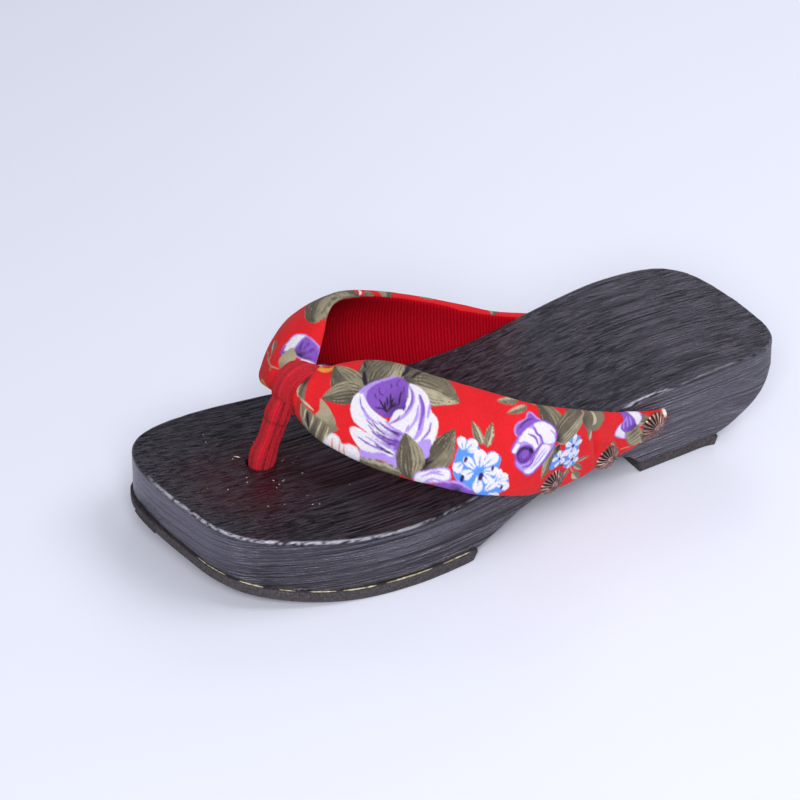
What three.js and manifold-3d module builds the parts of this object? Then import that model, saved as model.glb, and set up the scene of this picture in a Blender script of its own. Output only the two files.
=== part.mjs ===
// Geta sandal, left foot: a carved wooden base with two rubber treads, a wide cloth strap that
// runs from one side wall over the foot to the other, a knitted toe thong looped around it and
// six nailed-on tacks.  Millimetres, +Z up, toe towards -Y, outer (lateral) side towards +X.
import * as THREE from 'three';
import Module from 'manifold-3d';
import { mergeVertices } from 'three/addons/utils/BufferGeometryUtils.js';

// Driving dimensions
const clearance = 0.3;          // air left between neighbouring pieces
const treadThickness = 4;       // both rubber treads
const treadOverhang = 1;        // the front tread stands out past the wood
const frontTreadEnd = -22;      // back end of the front tread
const heelTreadStart = 56;      // front end of the heel tread
const heelTreadEnd = 92;        // back end of the heel tread
const springStart = -58;        // the toe spring begins here
const springLength = 62;        // and reaches the tip after this length
const springRise = 11;          // lift of the underside at the very tip
const springPower = 2.2;        // how suddenly it lifts
const heelDraft = 0.2;          // inward lean of the heel walls, per mm of height
const frontDraft = -0.02;       // the forefoot walls lean out by this little
const wallSteps = 116;          // corners of the base's plan outline
const thongX = -10;             // centre of the thong hole
const thongY = -78.3;
const thongHoleRadius = 5.2;
const thongRadius = 4.3;
const knotRecessRadius = 11;
const knotRecessTop = 14;       // ceiling of the recess for the knot
const knotRadius = 8.5;
const knotHalfHeight = 3.6;
const loopWidth = 11;           // width of the thong's loop, along the strap
const loopThickness = 3.4;
const loopBite = 0.6;           // the loop presses this far into the strap
const tackRadius = 5.4;
const tackHeight = 2.4;
const tackBite = 0.9;           // the tack heads press this far into the strap
const shankRadius = 0.9;
const shankLength = 12;
const tackLift = 0.3;           // how much of the cloth's own up or down tilt a tack head takes
const rowSteps = 3;             // strap sections made between two rows of the table

// Plan outline of the deck's rim, clockwise from the middle of the toe edge seen from above.
const rimPoints = [
  { x: -10, y: -119.6 }, { x: 8, y: -116.6 }, { x: 22, y: -113 }, { x: 32.5, y: -105.5 },
  { x: 41, y: -90 }, { x: 47.2, y: -70 }, { x: 49.4, y: -48 }, { x: 47.6, y: -26 },
  { x: 44, y: -3 }, { x: 40.6, y: 21 }, { x: 39.3, y: 44 }, { x: 39.2, y: 70 },
  { x: 37.4, y: 94 }, { x: 33.4, y: 110 }, { x: 23.4, y: 118.4 }, { x: 3, y: 120 },
  { x: -16, y: 118 }, { x: -28, y: 113.6 }, { x: -34.6, y: 104 }, { x: -36, y: 84 },
  { x: -33.8, y: 55 }, { x: -31.8, y: 30 }, { x: -33.4, y: 9 }, { x: -38.4, y: -12 },
  { x: -45.6, y: -36 }, { x: -50.6, y: -58 }, { x: -51, y: -80 }, { x: -47.4, y: -100 },
  { x: -39.6, y: -113 }, { x: -27, y: -119.2 },
];

// Height of the deck along the shoe.
const deckRows = [
  { y: -124, z: 32 }, { y: -98, z: 27.9 }, { y: -60, z: 24.5 }, { y: -25, z: 25.9 },
  { y: 10, z: 31 }, { y: 45, z: 36.8 }, { y: 80, z: 39.5 }, { y: 124, z: 37.3 },
];

// Underside of the wood between and behind the treads: the arch, then the cut-back heel.
const archRows = [
  { y: -14, z: 7.2 }, { y: -4, z: 10.9 }, { y: 8, z: 13.7 }, { y: 24, z: 15.4 },
  { y: 39, z: 14 }, { y: 49, z: 10.6 }, { y: 53.5, z: 7 },
];
const heelRows = [
  { y: 94, z: 7.2 }, { y: 101, z: 13 }, { y: 109, z: 20 }, { y: 116, z: 27.4 }, { y: 124, z: 37 },
];

// The strap, a row for each section from the inner end over the loop to the outer end.
// back is the edge towards the ankle and front the edge towards the toes, both on the outer
// face; crown is the bulge of the outer face and wall the thickness of the padded cloth.
const strapRows = [
  { back: [-35.8, 62, 30], front: [-34.8, 61, 21.5], crown: 0.4, wall: 3 },
  { back: [-36.8, 53, 33.2], front: [-34.4, 47, 18.8], crown: 0.8, wall: 3.3 },
  { back: [-36.8, 43, 36.8], front: [-34.4, 34, 17], crown: 1, wall: 3.6 },
  { back: [-36.8, 32, 41.4], front: [-35.2, 21, 15.6], crown: 1.4, wall: 3.8 },
  { back: [-38, 21, 46.8], front: [-37.8, 8, 16], crown: 2, wall: 4 },
  { back: [-40, 10, 51.8], front: [-42, -4, 20], crown: 2.6, wall: 4 },
  { back: [-41.5, -2, 57], front: [-46.5, -16, 24.6], crown: 3.2, wall: 4 },
  { back: [-40.8, -13, 62], front: [-50, -27.5, 29.6], crown: 4, wall: 4 },
  { back: [-38, -23.5, 66.8], front: [-51, -38, 34], crown: 5, wall: 4 },
  { back: [-34, -32, 70.4], front: [-49.5, -46, 38], crown: 5.8, wall: 4 },
  { back: [-29.8, -39, 71.6], front: [-46, -53.5, 40], crown: 6.2, wall: 4 },
  { back: [-25.3, -44, 69.8], front: [-42, -59.5, 41.3], crown: 6.2, wall: 4 },
  { back: [-21, -47.5, 66.8], front: [-37.5, -64, 42.8], crown: 6, wall: 4.2 },
  { back: [-17, -51.5, 62.8], front: [-30.5, -68, 46], crown: 5, wall: 4.8 },
  { back: [-14, -55, 58.8], front: [-22, -68.8, 48.6], crown: 3.8, wall: 5.8 },
  { back: [-12, -56.8, 57.2], front: [-12, -67.6, 49.4], crown: 2.8, wall: 7 },
  { back: [-9, -53.4, 59.2], front: [-2, -68.4, 47.8], crown: 3.4, wall: 5.8 },
  { back: [-4, -46.3, 62], front: [8, -66.6, 44.8], crown: 4, wall: 4.8 },
  { back: [1, -39.8, 63.6], front: [15.5, -62.4, 41.8], crown: 4.6, wall: 4.2 },
  { back: [8.3, -33.3, 64], front: [24.5, -56, 38.8], crown: 5, wall: 4 },
  { back: [19.7, -25, 62.6], front: [35, -48.5, 37.2], crown: 4.8, wall: 4 },
  { back: [30.3, -16, 60.9], front: [44, -38, 34.5], crown: 4.4, wall: 4 },
  { back: [39.5, -8, 59], front: [51, -27, 31.2], crown: 3.8, wall: 4 },
  { back: [45.8, 0, 56.4], front: [54, -16, 27.6], crown: 3.2, wall: 4 },
  { back: [49.2, 9, 53], front: [52.2, -6.2, 22.9], crown: 2.6, wall: 4 },
  { back: [49.2, 18, 48.8], front: [48.6, 5, 18.6], crown: 2, wall: 4 },
  { back: [47, 28, 43.4], front: [44.9, 17, 15.4], crown: 1.5, wall: 4 },
  { back: [44.6, 38, 38.2], front: [42.5, 29, 15.8], crown: 1.2, wall: 3.8 },
  { back: [43.2, 47, 34.6], front: [41, 41, 17], crown: 1, wall: 3.6 },
  { back: [42.1, 54, 32.2], front: [40.2, 52, 18.8], crown: 0.8, wall: 3.3 },
  { back: [41.3, 61, 30.4], front: [39.6, 61, 22], crown: 0.4, wall: 3 },
];
const loopRow = 15;

// Where the tacks sit: a place along the rows, and across from the back edge to the front edge.
const tackPlaces = [
  { name: 'outer_front', row: 24.9, across: 0.83 },
  { name: 'outer_middle', row: 27.25, across: 0.76 },
  { name: 'outer_back', row: 29.2, across: 0.42 },
  { name: 'inner_front', row: 5.1, across: 0.83 },
  { name: 'inner_middle', row: 2.75, across: 0.76 },
  { name: 'inner_back', row: 0.8, across: 0.42 },
];

// Spread of a section's corners from edge to edge, close together where the edges turn.
const sectionSpread = [0, 0.02, 0.08, 0.2, 0.39, 0.61, 0.8, 0.92, 0.98, 1];
const edgeRoundness = 5;

const colours = { wood: 0x1d181b, rubber: 0x2c2827, cloth: 0xd8232a, knit: 0xb3162d, bronze: 0x7a5a48 };

const wasm = await Module();
wasm.setup();

function vector([x, y, z]) {
  return new THREE.Vector3(x, y, z);
}

function toSolid(geometry) {
  const bare = geometry.clone();
  bare.deleteAttribute('normal');
  bare.deleteAttribute('uv');
  const merged = mergeVertices(bare, 1e-5);
  const mesh = new wasm.Mesh({
    numProp: 3,
    vertProperties: new Float32Array(merged.attributes.position.array),
    triVerts: new Uint32Array(merged.index.array),
  });
  return new wasm.Manifold(mesh);
}

function toGeometry(solid) {
  const mesh = solid.getMesh();
  const geometry = new THREE.BufferGeometry();
  geometry.setAttribute('position', new THREE.BufferAttribute(mesh.vertProperties, 3));
  geometry.setIndex(new THREE.BufferAttribute(mesh.triVerts, 1));
  geometry.computeVertexNormals();
  return geometry;
}

// A closed skin over rings of equal corner count; the ends are closed by fans unless it is a hoop.
function loft(rings, hoop = false) {
  const corners = rings[0].length;
  const points = rings.flat();
  const faces = [];
  const spans = hoop ? rings.length : rings.length - 1;
  for (let i = 0; i < spans; i += 1) {
    const low = i * corners;
    const high = ((i + 1) % rings.length) * corners;
    for (let k = 0; k < corners; k += 1) {
      const next = (k + 1) % corners;
      faces.push(low + k, low + next, high + next, low + k, high + next, high + k);
    }
  }
  if (!hoop) {
    for (const [ring, start, turned] of [[rings[0], 0, true], [rings.at(-1), points.length - corners, false]]) {
      const centre = ring.reduce((sum, p) => sum.add(p), new THREE.Vector3()).divideScalar(corners);
      points.push(centre);
      const middle = points.length - 1;
      for (let k = 0; k < corners; k += 1) {
        const next = (k + 1) % corners;
        faces.push(middle, start + (turned ? next : k), start + (turned ? k : next));
      }
    }
  }
  const geometry = new THREE.BufferGeometry().setFromPoints(points);
  geometry.setIndex(faces);
  return toSolid(geometry);
}

// A smooth function y -> z through the rows of a table.
function profileThrough(rows) {
  const curve = new THREE.SplineCurve(rows.map(({ y, z }) => new THREE.Vector2(y, z)));
  const samples = curve.getPoints(8 * rows.length);
  return (y) => {
    const after = Math.max(1, samples.findIndex((point) => point.x >= y));
    const [a, b] = [samples[after - 1], samples[after]];
    return a.y + ((b.y - a.y) * (y - a.x)) / (b.x - a.x);
  };
}

const deckHeight = profileThrough(deckRows);

function toeSpring(y) {
  const along = Math.max(0, (springStart - y) / springLength);
  return springRise * along ** springPower;
}

// Lean of the side walls: upright at the forefoot and at the very back, drawn in towards the
// ground along the heel.
function wallDraft(y) {
  const heel = THREE.MathUtils.smoothstep(y, -20, 70) * (1 - THREE.MathUtils.smoothstep(y, 84, 118));
  return THREE.MathUtils.lerp(frontDraft, heelDraft, heel);
}

// The base's plan outline as an upright block whose walls lean by wallDraft.
function planBlock(grow) {
  const curve = new THREE.CatmullRomCurve3(
    rimPoints.map(({ x, y }) => new THREE.Vector3(x, y, 0)), true, 'catmullrom', 0.5);
  const rim = curve.getSpacedPoints(wallSteps).slice(0, wallSteps);
  const rings = [0, 60].map((z) => rim.map((point, i) => {
    const before = rim[(i + wallSteps - 1) % wallSteps];
    const after = rim[(i + 1) % wallSteps];
    const outward = new THREE.Vector3(after.y - before.y, before.x - after.x, 0).normalize();
    const offset = grow + wallDraft(point.y) * (z - deckHeight(point.y));
    return point.clone().addScaledVector(outward, offset).setZ(z);
  }));
  return loft(rings);
}

// A side profile in (y, z), carried across the whole width.
function acrossBlock(outline) {
  const halfWidth = 80;
  const shape = new THREE.Shape(outline.map(({ y, z }) => new THREE.Vector2(y, z)));
  const geometry = new THREE.ExtrudeGeometry(shape, { depth: 2 * halfWidth, bevelEnabled: false, steps: 1 });
  geometry.translate(0, 0, -halfWidth);
  geometry.applyMatrix4(new THREE.Matrix4().makeBasis(
    new THREE.Vector3(0, 1, 0), new THREE.Vector3(0, 0, 1), new THREE.Vector3(1, 0, 0)));
  return toSolid(geometry);
}

function sampled(from, to, step, height) {
  const count = Math.round(Math.abs(to - from) / step);
  return Array.from({ length: count + 1 }, (_, i) => {
    const y = from + ((to - from) * i) / count;
    return { y, z: height(y) };
  });
}

function smoothRows(rows) {
  const curve = new THREE.SplineCurve(rows.map(({ y, z }) => new THREE.Vector2(y, z)));
  return curve.getPoints(3 * rows.length).map((point) => ({ y: point.x, z: point.y }));
}

function cylinder(radius, bottom, top, sides = 24) {
  const geometry = new THREE.CylinderGeometry(radius, radius, top - bottom, sides);
  geometry.rotateX(Math.PI / 2);
  geometry.translate(0, 0, (top + bottom) / 2);
  return geometry;
}

// The wooden base without its holes; grow gives the same form a little larger.
function baseForm(grow) {
  const seat = treadThickness + clearance;
  const front = sampled(-124, frontTreadEnd, 6, (y) => toeSpring(y) + seat);
  const underside = [...front, ...smoothRows([front.at(-1), ...archRows, { y: heelTreadStart, z: seat }]),
    ...smoothRows([{ y: heelTreadEnd - 3, z: seat }, ...heelRows])];
  const distinct = underside.filter((p, i) => i === 0 || p.y > underside[i - 1].y + 0.2);
  const deck = sampled(124, -124, 5, (y) => deckHeight(y) + grow);
  return planBlock(grow).intersect(acrossBlock([...distinct, ...deck]));
}

function treadForm(from, to, grow, chamfer) {
  const lower = sampled(from + chamfer, to - chamfer, 6, toeSpring);
  const upper = sampled(to, from, 6, (y) => toeSpring(y) + treadThickness);
  return planBlock(grow).intersect(acrossBlock([...lower, ...upper]));
}

const strapCurves = {
  back: new THREE.CatmullRomCurve3(strapRows.map((row) => vector(row.back)), false, 'catmullrom', 0.5),
  front: new THREE.CatmullRomCurve3(strapRows.map((row) => vector(row.front)), false, 'catmullrom', 0.5),
  body: new THREE.CatmullRomCurve3(
    strapRows.map((row) => new THREE.Vector3(row.crown, row.wall, 0)), false, 'catmullrom', 0.5),
};

// Everything about the strap's section at a place along the rows.
function strapFrame(row) {
  const t = row / (strapRows.length - 1);
  const back = strapCurves.back.getPoint(t);
  const front = strapCurves.front.getPoint(t);
  const { x: crown, y: wall } = strapCurves.body.getPoint(t);
  const along = strapCurves.back.getTangent(t).add(strapCurves.front.getTangent(t)).normalize();
  const chord = front.clone().sub(back);
  const outward = chord.clone().cross(along).normalize();
  return { back, front, crown, wall, along, chord, outward };
}

// A point of the outer face, with the way that it faces.
function onStrap(row, across) {
  const { back, chord, crown, outward, along } = strapFrame(row);
  const slope = crown * Math.PI * Math.cos(Math.PI * across);
  const place = back.clone().addScaledVector(chord, across);
  place.addScaledVector(outward, crown * Math.sin(Math.PI * across));
  const downAcross = chord.clone().addScaledVector(outward, slope);
  return { place, facing: downAcross.cross(along).normalize() };
}

// The strap's section as a ring: over the outer face, round the front edge and back inside.
function strapRing(row, grow = 0) {
  const { back, chord, crown, wall, outward } = strapFrame(row);
  const stretch = grow / chord.length();
  const corner = (spread, side) => {
    const half = (wall / 2 + grow) * (1 - Math.abs(2 * spread - 1) ** edgeRoundness) ** (1 / edgeRoundness);
    const across = spread * (1 + 2 * stretch) - stretch;
    const depth = crown * Math.sin(Math.PI * spread) - wall / 2 + side * half;
    return back.clone().addScaledVector(chord, across).addScaledVector(outward, depth);
  };
  const outer = sectionSpread.map((spread) => corner(spread, 1));
  const inner = sectionSpread.slice(1, -1).reverse().map((spread) => corner(spread, -1));
  return [...outer, ...inner];
}

function strapForm() {
  const last = (strapRows.length - 1) * rowSteps;
  return loft(Array.from({ length: last + 1 }, (_, i) => strapRing(i / rowSteps)));
}

// The thong's loop: a flat knitted tube led once around the strap's section.
function loopForm(grow) {
  const path = strapRing(loopRow, loopThickness / 2 - loopBite);
  const { along } = strapFrame(loopRow);
  const centre = path.reduce((sum, p) => sum.add(p), new THREE.Vector3()).divideScalar(path.length);
  const hoop = new THREE.CatmullRomCurve3(path, true, 'centripetal').getSpacedPoints(28).slice(0, 28);
  const sides = 12;
  const rings = hoop.map((point, i) => {
    const away = hoop[(i + 1) % hoop.length].clone().sub(hoop.at(i - 1)).cross(along).normalize();
    if (away.dot(point.clone().sub(centre)) < 0) away.negate();
    return Array.from({ length: sides }, (_, k) => {
      const angle = (2 * Math.PI * k) / sides;
      const wide = (loopWidth / 2 + grow) * Math.cos(angle);
      const deep = (loopThickness / 2 + grow) * Math.sin(angle);
      return point.clone().addScaledVector(along, wide).addScaledVector(away, deep);
    });
  });
  return loft(rings, true);
}

// Route of the thong's stem, from under the loop down through the deck to the knot.
const stemRoute = [
  [-11.4, -67.2, 48.5], [-11.2, -70, 43], [-10.7, -73.6, 35], [-10.2, -76.9, 28],
  [thongX, -78.1, 22], [thongX, thongY, 16], [thongX, thongY, 11],
].map(vector);

function stemForm(grow = 0) {
  const curve = new THREE.CatmullRomCurve3(stemRoute, false, 'centripetal');
  const sides = 16;
  const steps = 18;
  const across = new THREE.Vector3(1, 0, 0);
  return loft(Array.from({ length: steps + 1 }, (_, i) => {
    const centre = curve.getPointAt(i / steps);
    const forward = curve.getTangentAt(i / steps).cross(across).normalize();
    return Array.from({ length: sides }, (_, k) => {
      const angle = (2 * Math.PI * k) / sides;
      return centre.clone()
        .addScaledVector(across, (thongRadius + grow) * Math.cos(angle))
        .addScaledVector(forward, (thongRadius + grow) * Math.sin(angle));
    });
  }));
}

function knotForm() {
  const knot = new THREE.SphereGeometry(1, 20, 12);
  knot.scale(knotRadius, knotRadius, knotHalfHeight);
  knot.translate(thongX, thongY, knotRecessTop - clearance - knotHalfHeight);
  return toSolid(knot);
}

// A tack: a low domed head with a rolled rim, on a round shank, pointing along +Z.
function tackGeometry(grow) {
  const head = tackRadius + grow;
  const profile = [
    [0, -shankLength - grow], [shankRadius + grow, -shankLength + 1.5], [shankRadius + grow, -grow],
    [head, -grow], [head, 0.6], [head * 0.93, 1.25], [head * 0.7, 1.85], [head * 0.36, tackHeight],
    [0, tackHeight + grow],
  ].map(([r, z]) => new THREE.Vector2(r, z));
  const geometry = new THREE.LatheGeometry(profile, 16);
  geometry.rotateX(Math.PI / 2);
  return geometry;
}

function tackPlacement({ row, across }) {
  const { place, facing } = onStrap(row, across);
  facing.setZ(facing.z * tackLift).normalize();
  const position = place.addScaledVector(facing, -tackBite);
  const quaternion = new THREE.Quaternion().setFromUnitVectors(new THREE.Vector3(0, 0, 1), facing);
  return new THREE.Matrix4().compose(position, quaternion, new THREE.Vector3(1, 1, 1));
}

function standard(color, roughness, metalness = 0) {
  return new THREE.MeshStandardMaterial({ color, roughness, metalness });
}

function named(name, geometry, material) {
  const mesh = new THREE.Mesh(geometry, material);
  mesh.name = name;
  return mesh;
}

const tackPockets = tackPlaces.map((place) => toSolid(tackGeometry(clearance).applyMatrix4(tackPlacement(place))));
const holeAt = (radius, bottom, top) => toSolid(cylinder(radius, bottom, top).translate(thongX, thongY, 0));

let base = baseForm(0).subtract(holeAt(thongHoleRadius, -5, 60)).subtract(stemForm(clearance));
base = base.subtract(holeAt(knotRecessRadius, -5, knotRecessTop));
let strap = strapForm().subtract(baseForm(clearance)).subtract(loopForm(clearance)).subtract(stemForm(clearance));
for (const pocket of tackPockets) {
  base = base.subtract(pocket);
  strap = strap.subtract(pocket);
}
const thong = loopForm(0).add(stemForm()).add(knotForm());

const sandal = new THREE.Group();
sandal.add(named('body', toGeometry(base), standard(colours.wood, 0.45)));
sandal.add(named('tread_front', toGeometry(treadForm(-124, frontTreadEnd, treadOverhang, 0)),
  standard(colours.rubber, 0.8)));
sandal.add(named('tread_heel', toGeometry(treadForm(heelTreadStart, heelTreadEnd, 0, 1)),
  standard(colours.rubber, 0.8)));
sandal.add(named('strap', toGeometry(strap), standard(colours.cloth, 0.85)));
sandal.add(named('thong', toGeometry(thong), standard(colours.knit, 0.9)));
for (const place of tackPlaces) {
  const tack = named(`tack_${place.name}`, tackGeometry(0), standard(colours.bronze, 0.4, 0.9));
  tack.applyMatrix4(tackPlacement(place));
  sandal.add(tack);
}

// The origin is the bottom centre of the whole sandal's box.
const middle = new THREE.Box3().setFromObject(sandal, true).getCenter(new THREE.Vector3());
sandal.position.set(-middle.x, -middle.y, 0);

const group = new THREE.Group();
group.add(sandal);
export default group;
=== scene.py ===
"""Looks of a geta sandal for the left foot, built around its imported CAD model.

Lengths in the tables and functions are millimetres in the shoe's own design numbers: toe towards
-Y, outer (lateral) side towards +X, +Z up.  They become metres in the row frame when a mesh is
made.
"""

import math
from collections import namedtuple

import bpy
import numpy as np
from mathutils import Matrix, Vector


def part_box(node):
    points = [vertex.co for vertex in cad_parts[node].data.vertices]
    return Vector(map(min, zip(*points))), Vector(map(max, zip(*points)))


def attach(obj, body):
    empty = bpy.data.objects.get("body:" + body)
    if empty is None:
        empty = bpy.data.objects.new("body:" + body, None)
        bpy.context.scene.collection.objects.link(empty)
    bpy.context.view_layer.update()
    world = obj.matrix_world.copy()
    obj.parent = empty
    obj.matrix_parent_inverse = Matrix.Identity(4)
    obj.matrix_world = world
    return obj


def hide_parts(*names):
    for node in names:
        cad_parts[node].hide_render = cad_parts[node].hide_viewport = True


MM = 0.001

# ---------------------------------------------------------------- the shoe's own numbers

SPRING_START, SPRING_LENGTH, SPRING_RISE, SPRING_POWER = -58, 62, 11, 2.2   # toe spring
TREAD_THICKNESS, TREAD_GAP, TREAD_OVERHANG = 4, 0.3, 1
FRONT_TREAD_END, HEEL_TREAD_START, HEEL_TREAD_END = -22, 56, 92
FRONT_DRAFT, HEEL_DRAFT = -0.02, 0.2           # lean of the walls, mm per mm of height
THONG_X, THONG_Y = -10, -78.3                  # centre of the thong's hole
THONG_HOLE_RADIUS, THONG_RADIUS = 5.2, 4.3
KNOT_RADIUS, KNOT_MIDDLE = 8.5, 10.1
RECESS_RADIUS, RECESS_TOP = 11, 14
TACK_LIFT = 0.3                                # share of a tack's upward lean that is kept
LOOP_ROW = 15                                  # the row of the strap under the thong's loop

# Plan outline of the deck's rim (x, y), anticlockwise from the middle of the toe edge seen from above.
RIM_POINTS = [
    (-10, -119.6), (8, -116.6), (22, -113), (32.5, -105.5), (41, -90), (47.2, -70), (49.4, -48),
    (47.6, -26), (44, -3), (40.6, 21), (39.3, 44), (39.2, 70), (37.4, 94), (33.4, 110),
    (23.4, 118.4), (3, 120), (-16, 118), (-28, 113.6), (-34.6, 104), (-36, 84), (-33.8, 55),
    (-31.8, 30), (-33.4, 9), (-38.4, -12), (-45.6, -36), (-50.6, -58), (-51, -80), (-47.4, -100),
    (-39.6, -113), (-27, -119.2),
]

# Heights (y, z) along the shoe of the deck, and of the underside behind each tread.
DECK_ROWS = [(-124, 32), (-98, 27.9), (-60, 24.5), (-25, 25.9), (10, 31), (45, 36.8), (80, 39.5),
             (124, 37.3)]
ARCH_ROWS = [(-14, 7.2), (-4, 10.9), (8, 13.7), (24, 15.4), (39, 14), (49, 10.6), (53.5, 7)]
HEEL_ROWS = [(94, 7.2), (101, 13), (109, 20), (116, 27.4), (124, 37)]

# The strap's sections from the inner end over the loop to the outer end: the edge towards the
# ankle, the edge towards the toes, the bulge of the outer face and the padded thickness.
Row = namedtuple("Row", "back front crown wall")
STRAP_ROWS = [
    Row((-35.8, 62, 30), (-34.8, 61, 21.5), 0.4, 3),
    Row((-36.8, 53, 33.2), (-34.4, 47, 18.8), 0.8, 3.3),
    Row((-36.8, 43, 36.8), (-34.4, 34, 17), 1, 3.6),
    Row((-36.8, 32, 41.4), (-35.2, 21, 15.6), 1.4, 3.8),
    Row((-38, 21, 46.8), (-37.8, 8, 16), 2, 4),
    Row((-40, 10, 51.8), (-42, -4, 20), 2.6, 4),
    Row((-41.5, -2, 57), (-46.5, -16, 24.6), 3.2, 4),
    Row((-40.8, -13, 62), (-50, -27.5, 29.6), 4, 4),
    Row((-38, -23.5, 66.8), (-51, -38, 34), 5, 4),
    Row((-34, -32, 70.4), (-49.5, -46, 38), 5.8, 4),
    Row((-29.8, -39, 71.6), (-46, -53.5, 40), 6.2, 4),
    Row((-25.3, -44, 69.8), (-42, -59.5, 41.3), 6.2, 4),
    Row((-21, -47.5, 66.8), (-37.5, -64, 42.8), 6, 4.2),
    Row((-17, -51.5, 62.8), (-30.5, -68, 46), 5, 4.8),
    Row((-14, -55, 58.8), (-22, -68.8, 48.6), 3.8, 5.8),
    Row((-12, -56.8, 57.2), (-12, -67.6, 49.4), 2.8, 7),
    Row((-9, -53.4, 59.2), (-2, -68.4, 47.8), 3.4, 5.8),
    Row((-4, -46.3, 62), (8, -66.6, 44.8), 4, 4.8),
    Row((1, -39.8, 63.6), (15.5, -62.4, 41.8), 4.6, 4.2),
    Row((8.3, -33.3, 64), (24.5, -56, 38.8), 5, 4),
    Row((19.7, -25, 62.6), (35, -48.5, 37.2), 4.8, 4),
    Row((30.3, -16, 60.9), (44, -38, 34.5), 4.4, 4),
    Row((39.5, -8, 59), (51, -27, 31.2), 3.8, 4),
    Row((45.8, 0, 56.4), (54, -16, 27.6), 3.2, 4),
    Row((49.2, 9, 53), (52.2, -6.2, 22.9), 2.6, 4),
    Row((49.2, 18, 48.8), (48.6, 5, 18.6), 2, 4),
    Row((47, 28, 43.4), (44.9, 17, 15.4), 1.5, 4),
    Row((44.6, 38, 38.2), (42.5, 29, 15.8), 1.2, 3.8),
    Row((43.2, 47, 34.6), (41, 41, 17), 1, 3.6),
    Row((42.1, 54, 32.2), (40.2, 52, 18.8), 0.8, 3.3),
    Row((41.3, 61, 30.4), (39.6, 61, 22), 0.4, 3),
]
LAST_ROW = len(STRAP_ROWS) - 1

# Each tack's place along the strap's rows, and across from the back edge to the front edge.
TACK_PLACES = {
    "outer_front": (24.9, 0.83), "outer_middle": (27.25, 0.76), "outer_back": (29.2, 0.42),
    "inner_front": (5.1, 0.83), "inner_middle": (2.75, 0.76), "inner_back": (0.8, 0.42),
}

# Route of the thong's stem, from under its loop down through the deck to the knot.
STEM_ROUTE = [(-11.4, -67.2, 48.5), (-11.2, -70, 43), (-10.7, -73.6, 35), (-10.2, -76.9, 28),
              (THONG_X, -78.1, 22), (THONG_X, THONG_Y, 16), (THONG_X, THONG_Y, 11)]

# ---------------------------------------------------------------- curves and noise


def spline(points, closed=False):
    """A smooth curve through the points, as a function of the place along them, 0 at the first."""
    p = np.asarray(points, float)
    if closed:
        guides = np.vstack([p[-1:], p, p[:2]])
    else:
        guides = np.vstack([2 * p[0] - p[1], p, 2 * p[-1] - p[-2]])
    last = len(p) if closed else len(p) - 1

    def at(t):
        t = np.clip(np.asarray(t, float), 0, last - 1e-9)
        i = t.astype(int)
        f = (t - i)[..., None]
        a, b, c, d = (guides[i + k] for k in range(4))
        start, end = (c - a) / 2, (d - b) / 2
        square, cube = 3 * (c - b) - 2 * start - end, 2 * (b - c) + start + end
        return b + start * f + square * f ** 2 + cube * f ** 3

    return at


def smoothstep(x, low, high):
    t = np.clip((x - low) / (high - low), 0, 1)
    return t * t * (3 - 2 * t)


def unit(v):
    return v / np.maximum(np.linalg.norm(v, axis=-1, keepdims=True), 1e-12)


def blend(a, b, share):
    return a * (1 - share) + b * share


def full_turn(count):
    """Evenly spaced angles, once round."""
    return np.linspace(0, 2 * math.pi, count, endpoint=False)


def steps(line):
    return np.linalg.norm(np.diff(line, axis=0), axis=1)


def travelled(line):
    """How far along a line each of its points is."""
    return np.concatenate([[0], np.cumsum(steps(line))])


def segment_gaps(p, starts, ends):
    """The squared distance of each flat point to each segment, and the share of the segment's
    length at which it is nearest."""
    span = ends - starts
    offset = p[:, None] - starts[None]
    share = np.clip((offset * span).sum(-1) / np.maximum((span * span).sum(-1), 1e-12), 0, 1)
    return ((offset - span * share[..., None]) ** 2).sum(-1), share


def noise(points, seed=0):
    """Smooth value noise from -1 to 1 at points whose lattice cells are one unit."""
    p = np.asarray(points, float)
    cell = np.floor(p).astype(np.int64)
    f = p - cell
    f = f * f * (3 - 2 * f)
    total = 0
    for corner in np.ndindex(*(2,) * p.shape[-1]):
        at = cell + np.array(corner)
        mixed = np.full(p.shape[:-1], seed * 7919 + 12345, np.int64)
        for k in range(p.shape[-1]):
            mixed = (mixed ^ (at[..., k] * (73856093, 19349663, 83492791)[k])) * 1274126177 & 0x7FFFFFFF
            mixed ^= mixed >> 13
        value = (mixed % 65536) / 32768.0 - 1
        share = np.prod(np.where(np.array(corner) == 1, f, 1 - f), axis=-1)
        total = total + share * value
    return total


# ---------------------------------------------------------------- the strap's surface


STRAP_EDGES = spline([row.back + row.front + (row.crown, row.wall) for row in STRAP_ROWS])


def strap_frame(rows):
    """The strap's section at places along the rows: its edges and its own directions."""
    at = STRAP_EDGES(rows)
    step = 0.02
    ahead, behind = STRAP_EDGES(rows + step), STRAP_EDGES(rows - step)
    along = unit(unit(ahead[..., :3] - behind[..., :3]) + unit(ahead[..., 3:6] - behind[..., 3:6]))
    back, front, crown, wall = at[..., :3], at[..., 3:6], at[..., 6], at[..., 7]
    chord = front - back
    return namedtuple("Frame", "back front crown wall along chord outward")(
        back, front, crown, wall, along, chord, unit(np.cross(chord, along)))


def on_strap(row, across):
    """A point of the strap's outer face, with the way that it faces."""
    s = strap_frame(np.asarray(row, float))
    place = s.back + s.chord * across + s.outward * s.crown * math.sin(math.pi * across)
    slope = s.crown * math.pi * math.cos(math.pi * across)
    facing = unit(np.cross(s.chord + s.outward * slope, s.along))
    return place, facing


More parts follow.
